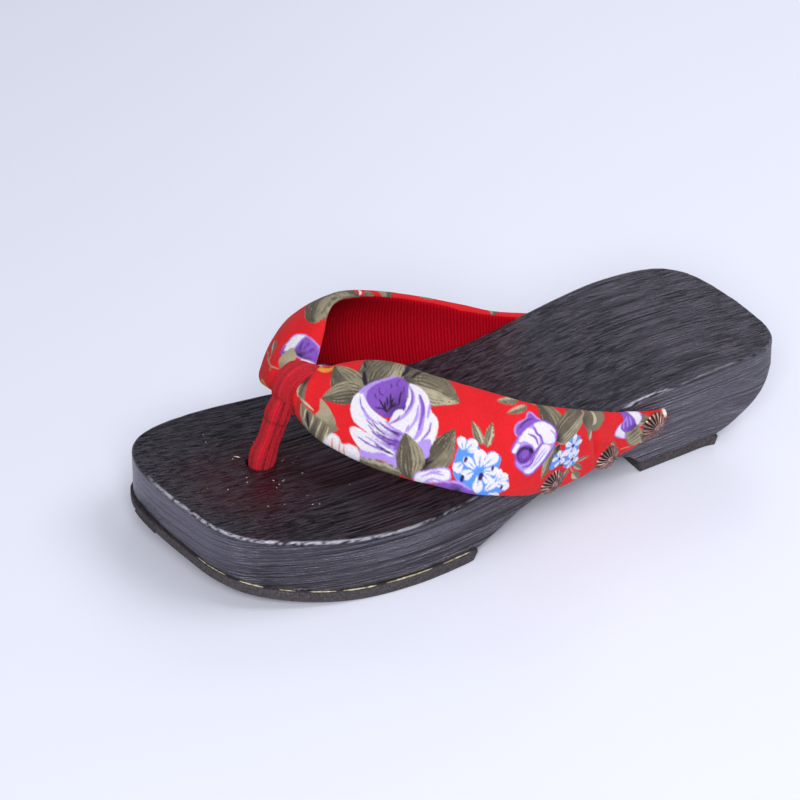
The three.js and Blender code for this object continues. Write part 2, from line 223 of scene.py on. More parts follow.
def flat_rows(rows):
    """The strap's two edges laid out flat, in mm, unrolled both ways from the loop: the outer
    wing towards +X and the front edge towards +Y."""
    s = strap_frame(rows)
    middle = int(np.argmin(np.abs(rows - LOOP_ROW)))
    back, front = np.zeros((len(rows), 2)), np.zeros((len(rows), 2))
    width = np.linalg.norm(s.chord, axis=-1)
    front[middle] = (0, width[middle])

    def reach(a, b, from_a, from_b, side):
        gap = b - a
        length = np.hypot(*gap)
        x = (from_a ** 2 - from_b ** 2 + length ** 2) / (2 * length)
        y = math.sqrt(max(from_a ** 2 - x ** 2, 0))
        axis = gap / length
        return a + axis * x + side * np.array([axis[1], -axis[0]]) * y

    for side in (1, -1):
        end = len(rows) if side == 1 else -1
        for i in range(middle + side, end, side):
            j = i - side
            back[i] = reach(back[j], front[j], np.linalg.norm(s.back[i] - s.back[j]),
                            np.linalg.norm(s.back[i] - s.front[j]), side)
            front[i] = reach(back[i], front[j], width[i], np.linalg.norm(s.front[i] - s.front[j]), side)
    return back, front


# ---------------------------------------------------------------- the wooden base's form

RIM_STEPS = 480
BEYOND_TOE = -200           # a place along the shoe in front of all of it
DECK_SPINE = (-84, 90)      # ends of the line down the middle that the deck's rings shrink to
WOOD_SHARP, SOFT_SHARP = 55, 80   # degrees from which an edge stays sharp, on wood and on the thong
RIM_RADIUS, BASE_RADIUS = 1.0, 0.5
WALL_GRAIN_REACH, WALL_GRAIN_X = 9, 40.0   # how far in the wall's grain goes, and its own X
BATCH = 20000               # points worked through at once, to spare memory
RIM_HIGHLIGHT_Y = 53             # where the painted highlight along the rim, over the strap's outer end, is broadest


def arc_spaced(points, count, closed=True):
    """The line through the points, cut anew into evenly spaced points."""
    line = np.vstack([points, points[:1]]) if closed else np.asarray(points, float)
    length = travelled(line)
    at = np.linspace(0, length[-1], count + 1)[:count] if closed else np.linspace(0, length[-1], count)
    return np.stack([np.interp(at, length, line[:, k]) for k in range(line.shape[1])], axis=-1)


def rim_outline(count=RIM_STEPS):
    """The deck's rim as (x, y) points and the ways out of it."""
    curve = spline(RIM_POINTS, closed=True)
    rim = arc_spaced(curve(np.linspace(0, len(RIM_POINTS), 3000, endpoint=False)), count)
    side = np.roll(rim, -1, axis=0) - np.roll(rim, 1, axis=0)
    return rim, unit(np.stack([-side[:, 1], side[:, 0]], axis=-1) * -1)


def profile_through(rows):
    line = spline(rows)(np.linspace(0, len(rows) - 1, 400))
    return lambda y: np.interp(y, line[:, 0], line[:, 1])


deck_height = profile_through(DECK_ROWS)


def toe_spring(y):
    return SPRING_RISE * np.clip((SPRING_START - y) / SPRING_LENGTH, 0, None) ** SPRING_POWER


def wood_bottom(y):
    """Height of the wood's underside: over the treads, the arch and the cut-back heel."""
    seat = TREAD_THICKNESS + TREAD_GAP
    arch = profile_through([(FRONT_TREAD_END, seat)] + ARCH_ROWS + [(HEEL_TREAD_START, seat)])
    heel = profile_through([(HEEL_TREAD_END - 3, seat)] + HEEL_ROWS)
    z = np.where(y < FRONT_TREAD_END, toe_spring(y) + seat, arch(y))
    return np.where(y > HEEL_TREAD_END - 3, heel(y), z)


def wall_draft(y):
    heel = smoothstep(y, -20, 70) * (1 - smoothstep(y, 84, 118))
    return FRONT_DRAFT + (HEEL_DRAFT - FRONT_DRAFT) * heel


def wall_point(rim, out, z, grow=0.0):
    """The wall at height z under each rim point, or grown by that much."""
    offset = grow + wall_draft(rim[:, 1]) * (z - deck_height(rim[:, 1]))
    return np.column_stack([rim + out * np.reshape(offset, (-1, 1)), np.broadcast_to(z, len(rim))])


def towards_spine(ring, share, low, high):
    """A closed ring drawn in towards a line down its middle that runs from y low to y high."""
    mirrored = np.roll(ring[::-1], 1, axis=0)
    middle = (ring + mirrored) / 2
    middle[:, 1] = np.clip(middle[:, 1], low, high)
    return ring[:, :2] + (middle[:, :2] - ring[:, :2]) * share


def skin(rings, zipped=False):
    """A closed mesh over rings of equal size: quads between them, and at both ends either a fan
    or, zipped, quads between the ring's two halves."""
    n, m = rings.shape[:2]
    vertices = rings.reshape(-1, 3)
    k = np.arange(m)
    low = (np.arange(n - 1)[:, None] * m + k).ravel()
    nxt = (np.arange(n - 1)[:, None] * m + (k + 1) % m).ravel()
    faces = [np.column_stack([low, nxt, nxt + m, low + m])]
    if zipped:
        half = m // 2
        for start, turned in ((0, True), ((n - 1) * m, False)):
            k = np.arange(1, half - 1)
            quads = start + np.column_stack([k, k + 1, m - k - 1, m - k])
            ends = start + np.array([[0, 1, m - 1], [half - 1, half, half + 1]])
            faces += [quads[:, ::-1] if turned else quads, ends[:, ::-1] if turned else ends]
    else:
        centres = np.stack([rings[0].mean(0), rings[-1].mean(0)])
        vertices = np.vstack([vertices, centres])
        k = np.arange(m)
        faces.append(np.column_stack([np.full(m, n * m), (k + 1) % m, k]))
        top = (n - 1) * m
        faces.append(np.column_stack([np.full(m, n * m + 1), top + k, top + (k + 1) % m]))
    return vertices, faces


def hoop_skin(rings):
    """A closed mesh over rings that follow each other round a hoop."""
    n, m = rings.shape[:2]
    k = np.arange(m)
    low = (np.arange(n)[:, None] * m + k).ravel()
    nxt = (np.arange(n)[:, None] * m + (k + 1) % m).ravel()
    high = (low + m) % (n * m)
    return rings.reshape(-1, 3), [np.column_stack([low, nxt, (nxt + m) % (n * m), high])]


def joined(parts):
    """Several (vertices, faces) as one."""
    vertices, faces, start = [], [], 0
    for v, fs in parts:
        vertices.append(v)
        faces += [f + start for f in fs]
        start += len(v)
    return np.vstack(vertices), faces


# ---------------------------------------------------------------- Blender meshes

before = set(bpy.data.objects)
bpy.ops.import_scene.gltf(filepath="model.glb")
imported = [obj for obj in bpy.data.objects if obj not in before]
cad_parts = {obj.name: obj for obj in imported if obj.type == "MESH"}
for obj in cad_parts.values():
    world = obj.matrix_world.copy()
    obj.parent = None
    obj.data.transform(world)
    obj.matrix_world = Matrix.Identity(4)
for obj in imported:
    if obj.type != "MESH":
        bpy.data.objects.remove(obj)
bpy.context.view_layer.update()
knot_low, knot_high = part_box("thong")
# The thong's knot is the widest thing across and the furthest forward in its node.
ORIGIN = np.array([(knot_low.x + knot_high.x) / 2 / MM - THONG_X,
                   knot_low.y / MM - (THONG_Y - KNOT_RADIUS), 0])


def in_metres(points):
    return (np.asarray(points, float) + ORIGIN) * MM


def make_mesh(name, vertices, faces, sharp_angle=40):
    mesh = bpy.data.meshes.new(name)
    loops = np.concatenate([f.ravel() for f in faces]).astype(np.int32)
    totals = np.concatenate([np.full(len(f), f.shape[1]) for f in faces])
    starts = np.concatenate([[0], np.cumsum(totals)[:-1]]).astype(np.int32)
    mesh.vertices.add(len(vertices))
    mesh.vertices.foreach_set("co", in_metres(vertices).astype(np.float32).ravel())
    mesh.loops.add(len(loops))
    mesh.loops.foreach_set("vertex_index", loops)
    mesh.polygons.add(len(totals))
    mesh.polygons.foreach_set("loop_start", starts)
    mesh.update(calc_edges=True)
    mesh.validate()
    turn_outwards(mesh)
    smooth(mesh, sharp_angle)
    return mesh


def turn_outwards(mesh):
    """All faces look outwards: the signed volume of a closed mesh made the right way is above 0."""
    n = len(mesh.vertices)
    co = np.zeros(n * 3)
    mesh.vertices.foreach_get("co", co)
    co = co.reshape(-1, 3)
    mesh.calc_loop_triangles()
    tri = np.zeros(len(mesh.loop_triangles) * 3, np.int32)
    mesh.loop_triangles.foreach_get("vertices", tri)
    a, b, c = (co[tri.reshape(-1, 3)[:, k]] - co.mean(0) for k in range(3))
    if np.einsum("ij,ij->i", a, np.cross(b, c)).sum() < 0:
        mesh.flip_normals()


def smooth(mesh, sharp_angle):
    mesh.polygons.foreach_set("use_smooth", np.ones(len(mesh.polygons), bool))
    mesh.set_sharp_from_angle(angle=math.radians(sharp_angle))


def add_object(name, data):
    made = bpy.data.objects.new(name, data)
    bpy.context.scene.collection.objects.link(made)
    return made


def piece(name, vertices, faces, material, slot, replaces=(), sharp_angle=40):
    """A visible piece of the sandal that rides on its one body."""
    made = add_object(name, make_mesh(name, vertices, faces, sharp_angle))
    made.data.materials.append(material)
    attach(made, "root")
    if replaces:
        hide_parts(*replaces)
    return made


def add_values(mesh, name, values):
    """A number, a place or a colour for each vertex, for the materials to read."""
    values = np.asarray(values, np.float32)
    kind, field = {1: ("FLOAT", "value"), 3: ("FLOAT_VECTOR", "vector"), 4: ("FLOAT_COLOR", "color")}[
        values[0].size]
    mesh.attributes.new(name, kind, "POINT").data.foreach_set(field, values.ravel())


def vertex_places(mesh):
    """The vertices' places, back in the design's own millimetres."""
    co = np.zeros(len(mesh.vertices) * 3, np.float32)
    mesh.vertices.foreach_get("co", co)
    return co.reshape(-1, 3).astype(float) / MM - ORIGIN


# ---------------------------------------------------------------- materials


def linear(red, green, blue):
    """A display colour of 0 to 255 as the linear one that materials take."""
    c = np.array([red, green, blue], float) / 255
    return np.where(c <= 0.04045, c / 12.92, ((c + 0.055) / 1.055) ** 2.4)


def rgba(red, green, blue):
    return (*linear(red, green, blue), 1.0)


class Nodes:
    """A material's node tree, built by short calls."""

    def __init__(self, name):
        self.material = bpy.data.materials.new(name)
        self.material.use_nodes = True
        self.tree = self.material.node_tree
        self.shader = next(n for n in self.tree.nodes if n.type == "BSDF_PRINCIPLED")

    def add(self, kind, inputs=None, **settings):
        node = self.tree.nodes.new(kind)
        for key, value in settings.items():
            setattr(node, key, value)
        for key, value in (inputs or {}).items():
            self.put(node.inputs[key], value)
        return node

    def put(self, socket, value):
        if isinstance(value, bpy.types.NodeSocket):
            self.tree.links.new(value, socket)
        else:
            socket.default_value = value

    def set(self, **values):
        """Sets the shader's sockets, with _ for a space in a name."""
        for key, value in values.items():
            self.put(self.shader.inputs[key.replace("_", " ")], value)

    def attribute(self, name, output="Fac"):
        return self.add("ShaderNodeAttribute", attribute_name=name).outputs[output]

    def place(self, *scale):
        """Object coordinates, stretched so that a texture's unit is 1/scale metres."""
        at = self.add("ShaderNodeTexCoord").outputs["Object"]
        return self.stretched(at, scale * 3 if len(scale) == 1 else scale)

    def stretched(self, vector, scale):
        return self.add("ShaderNodeMapping", {"Vector": vector, "Scale": scale}).outputs[0]

    def noise(self, vector, scale=1.0, detail=3.0, roughness=0.6):
        return self.add("ShaderNodeTexNoise", {
            "Vector": vector, "Scale": scale, "Detail": detail, "Roughness": roughness}).outputs["Fac"]

    def ramp(self, factor, stops):
        node = self.add("ShaderNodeValToRGB", {"Fac": factor})
        while len(node.color_ramp.elements) < len(stops):
            node.color_ramp.elements.new(0.5)
        for element, (position, colour) in zip(node.color_ramp.elements, stops):
            element.position = position
            element.color = colour
        return node.outputs["Color"]

    def range(self, value, low, high, to_low, to_high):
        return self.add("ShaderNodeMapRange", {
            "Value": value, "From Min": low, "From Max": high, "To Min": to_low,
            "To Max": to_high}).outputs[0]

    def mix(self, factor, a, b):
        node = self.add("ShaderNodeMix", data_type="RGBA")
        self.put(node.inputs[0], factor)
        self.put(node.inputs[6], a)
        self.put(node.inputs[7], b)
        return node.outputs[2]

    def math(self, operation, a, b=0.0):
        node = self.add("ShaderNodeMath", operation=operation)
        self.put(node.inputs[0], a)
        self.put(node.inputs[1], b)
        return node.outputs[0]

    def bump(self, height, distance, strength):
        return self.add("ShaderNodeBump", {
            "Height": height, "Distance": distance, "Strength": strength}).outputs["Normal"]


def wood_material():
    """Black lacquer over brushed wood: fine raised grain along the shoe, a red tint round the
    thong and a pale line on the rim, partly chipped lacquer and partly painted highlight."""
    m = Nodes("lacquered_wood")
    along = m.attribute("grain", "Vector")
    fine = m.noise(m.stretched(along, (1400, 11, 1400)), detail=4, roughness=0.6)
    lines = m.noise(m.stretched(along, (560, 2.8, 560)), detail=2, roughness=0.5)
    pores = m.noise(m.stretched(along, (1500, 220, 1500)), detail=2)
    grooves = m.range(m.math("ABSOLUTE", m.math("SUBTRACT", lines, 0.5)), 0.0, 0.035, 1, 0)
    raised = m.math("SUBTRACT", fine, m.math("MULTIPLY", grooves, 0.15))
    raised = m.math("ADD", 0.49,
                    m.math("MULTIPLY", m.math("SUBTRACT", raised, 0.49), m.attribute("streaks")))
    lacquer = m.ramp(raised, [(0.34, rgba(4, 3, 4)), (0.46, rgba(27, 22, 27)), (0.60, rgba(62, 56, 66))])
    tinted = m.mix(m.attribute("tint"), lacquer, rgba(60, 4, 14))
    # pale rim line: partly chipped lacquer, partly a painted highlight along the lit outer rim
    worn_and_lit = m.mix(m.attribute("wear_and_highlight"), tinted, rgba(214, 211, 226))
    shine = m.math("MULTIPLY", m.range(m.attribute("gloss"), 0, 1, 0.24, 1.0),
                   m.range(raised, 0.34, 0.5, 0.3, 1))
    m.set(Base_Color=worn_and_lit, Roughness=m.range(raised, 0.34, 0.56, 0.45, 0.2), Specular_IOR_Level=shine,
          Specular_Tint=rgba(236, 232, 255), IOR=1.8)
    height = m.math("ADD", m.math("MULTIPLY", raised, m.attribute("relief")),
                    m.math("MULTIPLY", pores, 0.08))
    m.set(Normal=m.bump(height, 0.0026, 0.9))
    return m.material


def rubber_material():
    """Matt grey-brown rubber with a sanded, faintly speckled edge."""
    m = Nodes("tread_rubber")
    speckle = m.noise(m.place(1400), detail=3)
    scuffs = m.noise(m.place(90, 90, 500), detail=4)
    colour = m.ramp(speckle, [(0.3, rgba(44, 40, 43)), (0.5, rgba(66, 61, 64)), (0.72, rgba(94, 87, 90))])
    m.set(Base_Color=m.mix(m.range(scuffs, 0.45, 0.75, 0, 0.35), colour, rgba(44, 39, 41)),
          Roughness=0.78, Specular_IOR_Level=0.3, Normal=m.bump(speckle, 0.0004, 0.5))
    return m.material


def glue_material():
    m = Nodes("dried_glue")
    patches = m.noise(m.place(600), detail=3)
    m.set(Base_Color=m.ramp(patches, [(0.35, rgba(120, 110, 78)), (0.65, rgba(222, 214, 178))]),
          Roughness=0.5)
    return m.material


def print_material():
    """Printed cotton: the print is painted in the mesh, the weave is worked over it."""
    m = Nodes("print_cotton")
    printed = m.attribute("print", "Color")
    weave = m.noise(m.place(2600), detail=2, roughness=0.7)
    slub = m.noise(m.place(500), detail=4)
    shaded = m.mix(m.range(weave, 0.25, 0.7, 0.34, 0.0), printed, rgba(60, 8, 14))
    m.set(Base_Color=shaded, Roughness=0.85, Specular_IOR_Level=0.14, Sheen_Weight=0.05,
          Sheen_Roughness=0.4)
    height = m.math("ADD", weave, m.math("MULTIPLY", slub, 0.6))
    m.set(Normal=m.bump(height, 0.0004, 0.7))
    return m.material


def lining_material():
    """Deep red cotton with fine ribs across the strap."""
    m = Nodes("ribbed_lining")
    flat = m.attribute("flat", "Vector")
    ribs = m.add("ShaderNodeTexWave", {"Vector": flat, "Scale": 0.25, "Distortion": 1.6, "Detail": 3.0,
                                       "Detail Scale": 3.0}, bands_direction="X").outputs["Fac"]
    knots = m.noise(flat, scale=1.9, detail=3)
    fuzz = m.noise(flat, scale=3.4, detail=3, roughness=0.7)
    tone = m.math("ADD", m.math("MULTIPLY", ribs, 0.22), m.math("MULTIPLY", knots, 0.5))
    colour = m.ramp(m.math("ADD", tone, m.math("MULTIPLY", fuzz, 0.28)),
                    [(0.3, rgba(146, 2, 14)), (0.5, rgba(182, 5, 25)), (0.72, rgba(216, 28, 50))])
    m.set(Base_Color=colour, Roughness=0.9, Specular_IOR_Level=0.02)
    m.set(Normal=m.bump(m.math("ADD", m.math("MULTIPLY", ribs, 0.4), fuzz), 0.0005, 0.8))
    return m.material


def knit_material():
    """Crimson knitted tube; its wales are in the mesh, the yarn's fuzz is here."""
    m = Nodes("knit_thong")
    yarn = m.noise(m.place(1150), detail=5, roughness=0.75)
    depth = m.attribute("depth")
    # depth darkens the knit's grooves, folds and seam with painted shade and lightens its ridges with a
    # painted highlight
    colour = m.mix(depth, rgba(124, 4, 20), rgba(238, 24, 48))
    colour = m.mix(m.range(yarn, 0.35, 0.7, 0.0, 0.45), colour, rgba(252, 52, 70))
    m.set(Base_Color=colour, Roughness=0.92, Specular_IOR_Level=0.08, Sheen_Weight=0.08,
          Sheen_Roughness=0.5)
    m.set(Normal=m.bump(yarn, 0.001, 1.0))
    return m.material


def bronze_material():
    """Aged copper-bronze: bright ridges over dark grooves, whose darkness is partly tarnish and partly
    painted shade.
    """
    m = Nodes("aged_bronze")
    depth = m.attribute("depth")
    stain = m.noise(m.place(700), detail=4)
    ridge = m.mix(m.range(stain, 0.35, 0.65, 0, 1), rgba(178, 138, 128), rgba(126, 104, 104))
    # depth paints the flutes near black: tarnish together with painted shade
    m.set(Base_Color=m.mix(depth, rgba(14, 13, 18), ridge), Metallic=0.8,
          Roughness=m.range(depth, 0, 1, 0.6, 0.3), Normal=m.bump(stain, 0.0002, 0.4))
    return m.material


def fleck_material():
    m = Nodes("pale_fibre")
    tone = m.noise(m.place(3000), detail=2)
    m.set(Base_Color=m.ramp(tone, [(0.4, rgba(198, 186, 160)), (0.6, rgba(236, 230, 216))]),
          Roughness=0.8)
    return m.material


# ---------------------------------------------------------------- the wooden base


def grain_relief(p, strength):
    """Brushed grain as small heights over the wood, drawn out along the shoe."""
    ridges = 1 - 2 * np.abs(noise(p / (1.5, 30, 1.5), 3))
    waves = noise(p / (4.5, 60, 4.5), 5)
    return strength * (0.09 * ridges + 0.07 * waves)


def build_body(material):
    rim, out = rim_outline()
    y = rim[:, 1]
    deck = deck_height(y)
    bottom = wood_bottom(y)
    for _ in range(3):
        bottom = wood_bottom(wall_point(rim, out, bottom)[:, 1])
    seed_line = np.column_stack([rim / 2.2, np.full(len(rim), 0.5)])
    chipped = smoothstep(noise(seed_line / 6, 12), -0.1, 0.3)
    chips = smoothstep(noise(seed_line, 11), 0.35, 0.8) * 0.45 * chipped
    rings, ways = [], []

    def flat_ring(edge, share, height, way):
        xy = towards_spine(edge, share, *DECK_SPINE)
        rings.append(np.column_stack([xy, height(xy[:, 1])]))
        ways.append(np.tile((0, 0, way), (len(xy), 1)))

    base_edge = wall_point(rim, out, bottom, -BASE_RADIUS)
    for share in np.linspace(0.95, 0, 14):
        flat_ring(base_edge, share, wood_bottom, -1)
    for angle in (30, 60):
        turn = math.radians(angle)
        z = bottom + BASE_RADIUS * (1 - math.cos(turn))
        rings.append(wall_point(rim, out, z, -BASE_RADIUS * (1 - math.sin(turn))))
        ways.append(np.column_stack([out * math.sin(turn), np.full(len(rim), -math.cos(turn))]))
    low, high = bottom + BASE_RADIUS, deck - RIM_RADIUS
    for share in np.linspace(0, 1, 40):
        rings.append(wall_point(rim, out, low + (high - low) * share))
        ways.append(np.column_stack([out, np.zeros(len(rim))]))
    for angle in (18, 36, 54, 72, 90):
        turn = math.radians(angle)
        inset = (RIM_RADIUS + chips) * (1 - math.cos(turn))
        z = deck - (RIM_RADIUS + chips) * (1 - math.sin(turn)) - chips * 0.5 * math.cos(turn)
        rings.append(wall_point(rim, out, z, -inset))
        ways.append(np.column_stack([out * math.cos(turn), np.full(len(rim), math.sin(turn))]))
    deck_edge = rings[-1]
    for share in np.concatenate([np.linspace(0.012, 0.5, 40), np.linspace(0.52, 0.95, 20)]):
        flat_ring(deck_edge, share, deck_height, 1)
    rings, ways = np.array(rings), np.array(ways)
    end_wall = smoothstep(-rings[..., 1], 100, 118)
    strength = 1 - 0.7 * end_wall * (np.abs(ways[..., 2]) < 0.9)
    rings = rings + ways * grain_relief(rings, strength)[..., None]
    vertices, faces = skin(rings, zipped=True)
    made = piece("body_wood", vertices, faces, material, "lacquered_wood", ["body"], sharp_angle=WOOD_SHARP)
    cut_thong_hole(made)
    add_wood_values(made.data)


def round_block(name, radius, low, high, sides=72):
    """A hidden upright cylinder used to cut with."""
    turn = full_turn(sides)
    ring = np.column_stack([THONG_X + radius * np.cos(turn), THONG_Y + radius * np.sin(turn)])
    rings = np.array([np.column_stack([ring, np.full(sides, z)]) for z in (low, high)])
    return add_object(name, make_mesh(name, *skin(rings)))


def cut_thong_hole(body):
    """Cuts the thong's hole and the knot's recess, and leaves no modifier or cutter behind."""
    for cutter in (round_block("cut_hole", THONG_HOLE_RADIUS, -5, 60),
                   round_block("cut_recess", RECESS_RADIUS, -5, RECESS_TOP)):
        modifier = body.modifiers.new("cut", "BOOLEAN")
        modifier.operation = "DIFFERENCE"
        modifier.solver = "EXACT"
        modifier.object = cutter
        depsgraph = bpy.context.evaluated_depsgraph_get()
        cut = bpy.data.meshes.new_from_object(body.evaluated_get(depsgraph))
        body.modifiers.remove(modifier)
        old = body.data
        body.data = cut
        bpy.data.meshes.remove(old)
        bpy.data.objects.remove(cutter)
    smooth(body.data, WOOD_SHARP)


def add_wood_values(mesh):
    """Where the lacquer shows red, where the rim carries a pale line of chips and painted highlight, and how
    strong its grain is.
    """
    p = vertex_places(mesh)
    deck = deck_height(p[:, 1])
    from_thong = np.hypot(p[:, 0] - THONG_X - 9, (p[:, 1] - THONG_Y + 6) * 0.8)
    mottled = 0.5 + 0.5 * noise(p / 7, 21)
    tint = (1 - smoothstep(from_thong, 6, 34)) * (0.35 + 0.65 * mottled)
    rim = rim_outline()[0]
    nearest, to_rim = nearest_on_rim(p, rim)
    drop = np.hypot(to_rim, p[:, 2] - deck)
    # broad: the wide band of painted highlight on the outer rim over the strap's end
    broad = np.exp(-((p[:, 1] - RIM_HIGHLIGHT_Y) / 15) ** 2) * smoothstep(p[:, 0], 0, 10)
    toe = smoothstep(-p[:, 1], 20, 60)
    edge = 1 - smoothstep(drop, 0.3 + 0.6 * broad, 0.8 + 0.5 * toe + 1.4 * broad)
    wear_and_highlight_noise = noise(p / (0.6, 5, 0.6), 31) + 0.6 * noise(p / 0.7, 32) + 0.35 * smoothstep(-p[:, 1], 30, 70)
    patches = smoothstep(wear_and_highlight_noise, -0.2, 0.45)
    lateral = smoothstep(p[:, 0], -24,
                         0) * (0.35 + 0.65 * np.maximum(smoothstep(-p[:, 1], 20, 70), broad))
    on_end = smoothstep(-p[:, 1], 98, 116) * (p[:, 2] < deck - 1)
    add_values(mesh, "tint", tint)
    # the pale rim line: chipped lacquer and a painted highlight, kept to the outer side and the toe
    add_values(mesh, "wear_and_highlight", edge * patches * lateral * 0.9)
    on_wall = smoothstep(deck - p[:, 2], 0.8, 2.0)
    add_values(mesh, "relief", (1 + 0.3 * on_wall) * (1 - 0.75 * on_end))
    add_values(mesh, "grain", grain_places(p, nearest, to_rim, on_wall, rim))
    add_values(mesh, "streaks", 1 - 0.6 * on_end)
    add_values(mesh, "gloss", np.maximum(on_wall, 0.42 * smoothstep(p[:, 1], -30, 50)))


def nearest_on_rim(p, rim):
    """Each point's nearest rim point, and how far off it is in plan, worked through in batches."""
    nearest = np.empty(len(p), int)
    for start in range(0, len(p), BATCH):
        part = p[start:start + BATCH, :2]
        nearest[start:start + BATCH] = ((part[:, None] - rim[None]) ** 2).sum(-1).argmin(1)
    return nearest, np.linalg.norm(p[:, :2] - rim[nearest], axis=1)


def rim_travel(rim):
    """How far along the rim each of its points is, growing towards the heel on the outer side as Y
    does there, and running on round the toe to the inner side."""
    order = np.roll(np.arange(len(rim)), -int(rim[:, 1].argmax()))
    if rim[order[len(rim) // 4], 0] < 0:
        order = order[::-1]
    ring = rim[order]
    travel = -travelled(ring)
    travel -= travel[np.abs(ring[:len(ring) // 2, 1]).argmin()]
    found = np.empty(len(rim))
    found[order] = travel
    return found


def grain_places(p, nearest, to_rim, on_wall, rim):
    """The grain's own places: along the shoe on the deck, and along the rim on the side walls."""
    wall = (on_wall > 0.5) & (to_rim < WALL_GRAIN_REACH)
    side = np.column_stack([np.full(len(p), WALL_GRAIN_X), rim_travel(rim)[nearest], p[:, 2]])
    return np.where(wall[:, None], side, p) * MM


# ---------------------------------------------------------------- the rubber treads and the glue


def tread_rings(outline, out, slant):
    """Rings of a slab that follows the toe spring, with rubbed edges; slant draws its bottom
    forward at the back end."""
    rings = []
    radius = 0.45
    spine = (outline[:, 1].min() + 22, outline[:, 1].max() - 12)

    def flat(share, top):
        inner = outline[:, :2] - out * radius
        xy = towards_spine(np.column_stack([inner, inner[:, 0] * 0]), share, *spine)
        rings.append(np.column_stack([xy, toe_spring(xy[:, 1]) + top]))

    for share in np.linspace(0.94, 0, 10):
        flat(share, 0)
    for level in (0.12, 0.45, 1.2, 2, 2.8, 3.4):
        z = toe_spring(outline[:, 1]) + level * TREAD_THICKNESS / 3.9
        inset = radius * max(0, 1 - level / 0.45)
        edge = outline[:, :2] - out * inset
        rough = 0.07 * noise(np.column_stack([edge / 1.2, z / 0.8]), 41)
        rings.append(np.column_stack([edge + out * rough[:, None], z]))
    top = toe_spring(outline[:, 1]) + TREAD_THICKNESS - 0.12
    rings.append(np.column_stack([outline[:, :2] - out * radius * 0.4, top]))
    for share in np.linspace(0, 0.94, 10):
        flat(share, TREAD_THICKNESS)
    rings = np.array(rings)
    back = smoothstep(rings[..., 1], outline[:, 1].max() - 6, outline[:, 1].max())
    height = rings[..., 2] - toe_spring(rings[..., 1])
    rings[..., 1] -= slant * back * (1 - height / TREAD_THICKNESS)
    return rings


def clipped_outline(grow, low, high, count):
    """The base's plan between two places along the shoe, at mid height of the treads."""
    rim, out = rim_outline(1600)
    z = toe_spring(rim[:, 1]) + TREAD_THICKNESS / 2
    wall = wall_point(rim, out, z, grow)[:, :2]
    inside = (wall[:, 1] > low) & (wall[:, 1] < high)
    lateral = wall[inside & (wall[:, 0] > -8)]
    medial = wall[inside & (wall[:, 0] <= -8)]
    lateral = lateral[np.argsort(lateral[:, 1])]
    medial = medial[np.argsort(-medial[:, 1])]
    start = (lateral[:1] + medial[-1:]) / 2
    ring = arc_spaced(np.vstack([start, lateral, medial]), count)
    side = np.roll(ring, -1, axis=0) - np.roll(ring, 1, axis=0)
    return ring, unit(np.column_stack([side[:, 1], -side[:, 0]]))


def build_treads(material):
    for node, grow, low, high, count, slant in (
            ("tread_front", TREAD_OVERHANG, BEYOND_TOE, FRONT_TREAD_END, 420, 2.2),
            ("tread_heel", 0, HEEL_TREAD_START, HEEL_TREAD_END, 300, 1.5)):
        rings = tread_rings(*clipped_outline(grow, low, high, count), slant)
        piece(f"{node}_rubber", *skin(rings, zipped=True), material, "tread_rubber", [node])


def bead(path, radii, sides=6):
    """A closed round bead along a path, as thick at each point as radii says."""
    along = unit(np.gradient(path, axis=0))
    across = unit(np.cross(along, (0, 0, 1)))
    over = np.cross(across, along)
    turn = full_turn(sides)
    rings = (path[:, None] + radii[:, None, None] * (
        np.cos(turn)[None, :, None] * across[:, None] + np.sin(turn)[None, :, None] * over[:, None]))
    return skin(rings)


def build_glue(material):
    """Broken runs of dried glue in the joint over the front tread, along the outer side only."""
    random = np.random.default_rng(7)
    ring, _ = clipped_outline(0.12, BEYOND_TOE, FRONT_TREAD_END - 1, 1400)
    z = toe_spring(ring[:, 1]) + TREAD_THICKNESS + TREAD_GAP * 0.6
    line = np.column_stack([ring, z])
    parts, at = [], 6
    while at < len(line) - 60:
        length = int(random.integers(8, 44))
        run = line[at:at + length]
        outer = run[:, 0].min() > 14
        if random.random() < 0.95 and outer and run[:, 1].max() < FRONT_TREAD_END - 2:
            taper = np.sin(np.linspace(0.15, math.pi - 0.15, len(run))) ** 0.5
            thick = (0.16 + 0.13 * random.random()) * taper * (1 + 0.45 * noise(run / 0.7, 51))
            parts.append(bead(run, thick))
        at += length + int(random.integers(2, 12))
    piece("glue_line", *joined(parts), material, "tread_rubber")


# ---------------------------------------------------------------- the strap

FOLD_WIDTH = 2.4            # the printed cloth turned in behind each edge
LINING_EDGE = 0.42          # where the lining starts, as a share of the rounded edge's width

# Soft creases of the outer face on the flat-laid cloth: points, height (a trough below 0), width.
CREASES = [
    ([(2.5, -2), (4.5, 3), (7, 9), (9, 13)], -0.9, 1.1),
    ([(4.5, -3.5), (7, 2), (10, 8), (14, 12)], 0.8, 1.8),
    ([(6, 9.9), (11, 9.7), (16, 9.2)], -0.45, 0.7),
    ([(-2.5, -1), (-4.5, 4), (-6, 11)], -0.8, 1.2),
    ([(-5, -3), (-8, 3), (-11, 10)], 0.6, 2.0),
    ([(-8, -8), (-14, -2), (-20, 9)], -0.35, 1.8),
    ([(95, -61), (102, -59), (109, -57.3)], -1.5, 1.1),
    ([(97, -56), (104, -54.5), (112, -53)], 0.7, 2.2),
    ([(106, -58), (110, -63), (112, -66)], -0.5, 1.4),
    ([(112, -72), (116, -77), (118, -82)], -0.5, 1.0),
    ([(-96, -60), (-103, -58.5), (-109, -57)], -0.8, 1.0),
    ([(-97, -56), (-104, -54.5), (-111, -53)], 0.6, 2.2),
    ([(20, -14), (34, -22), (46, -26)], 0.25, 4.0),
    ([(60, -22), (74, -30), (90, -44)], -0.2, 4.0),
]


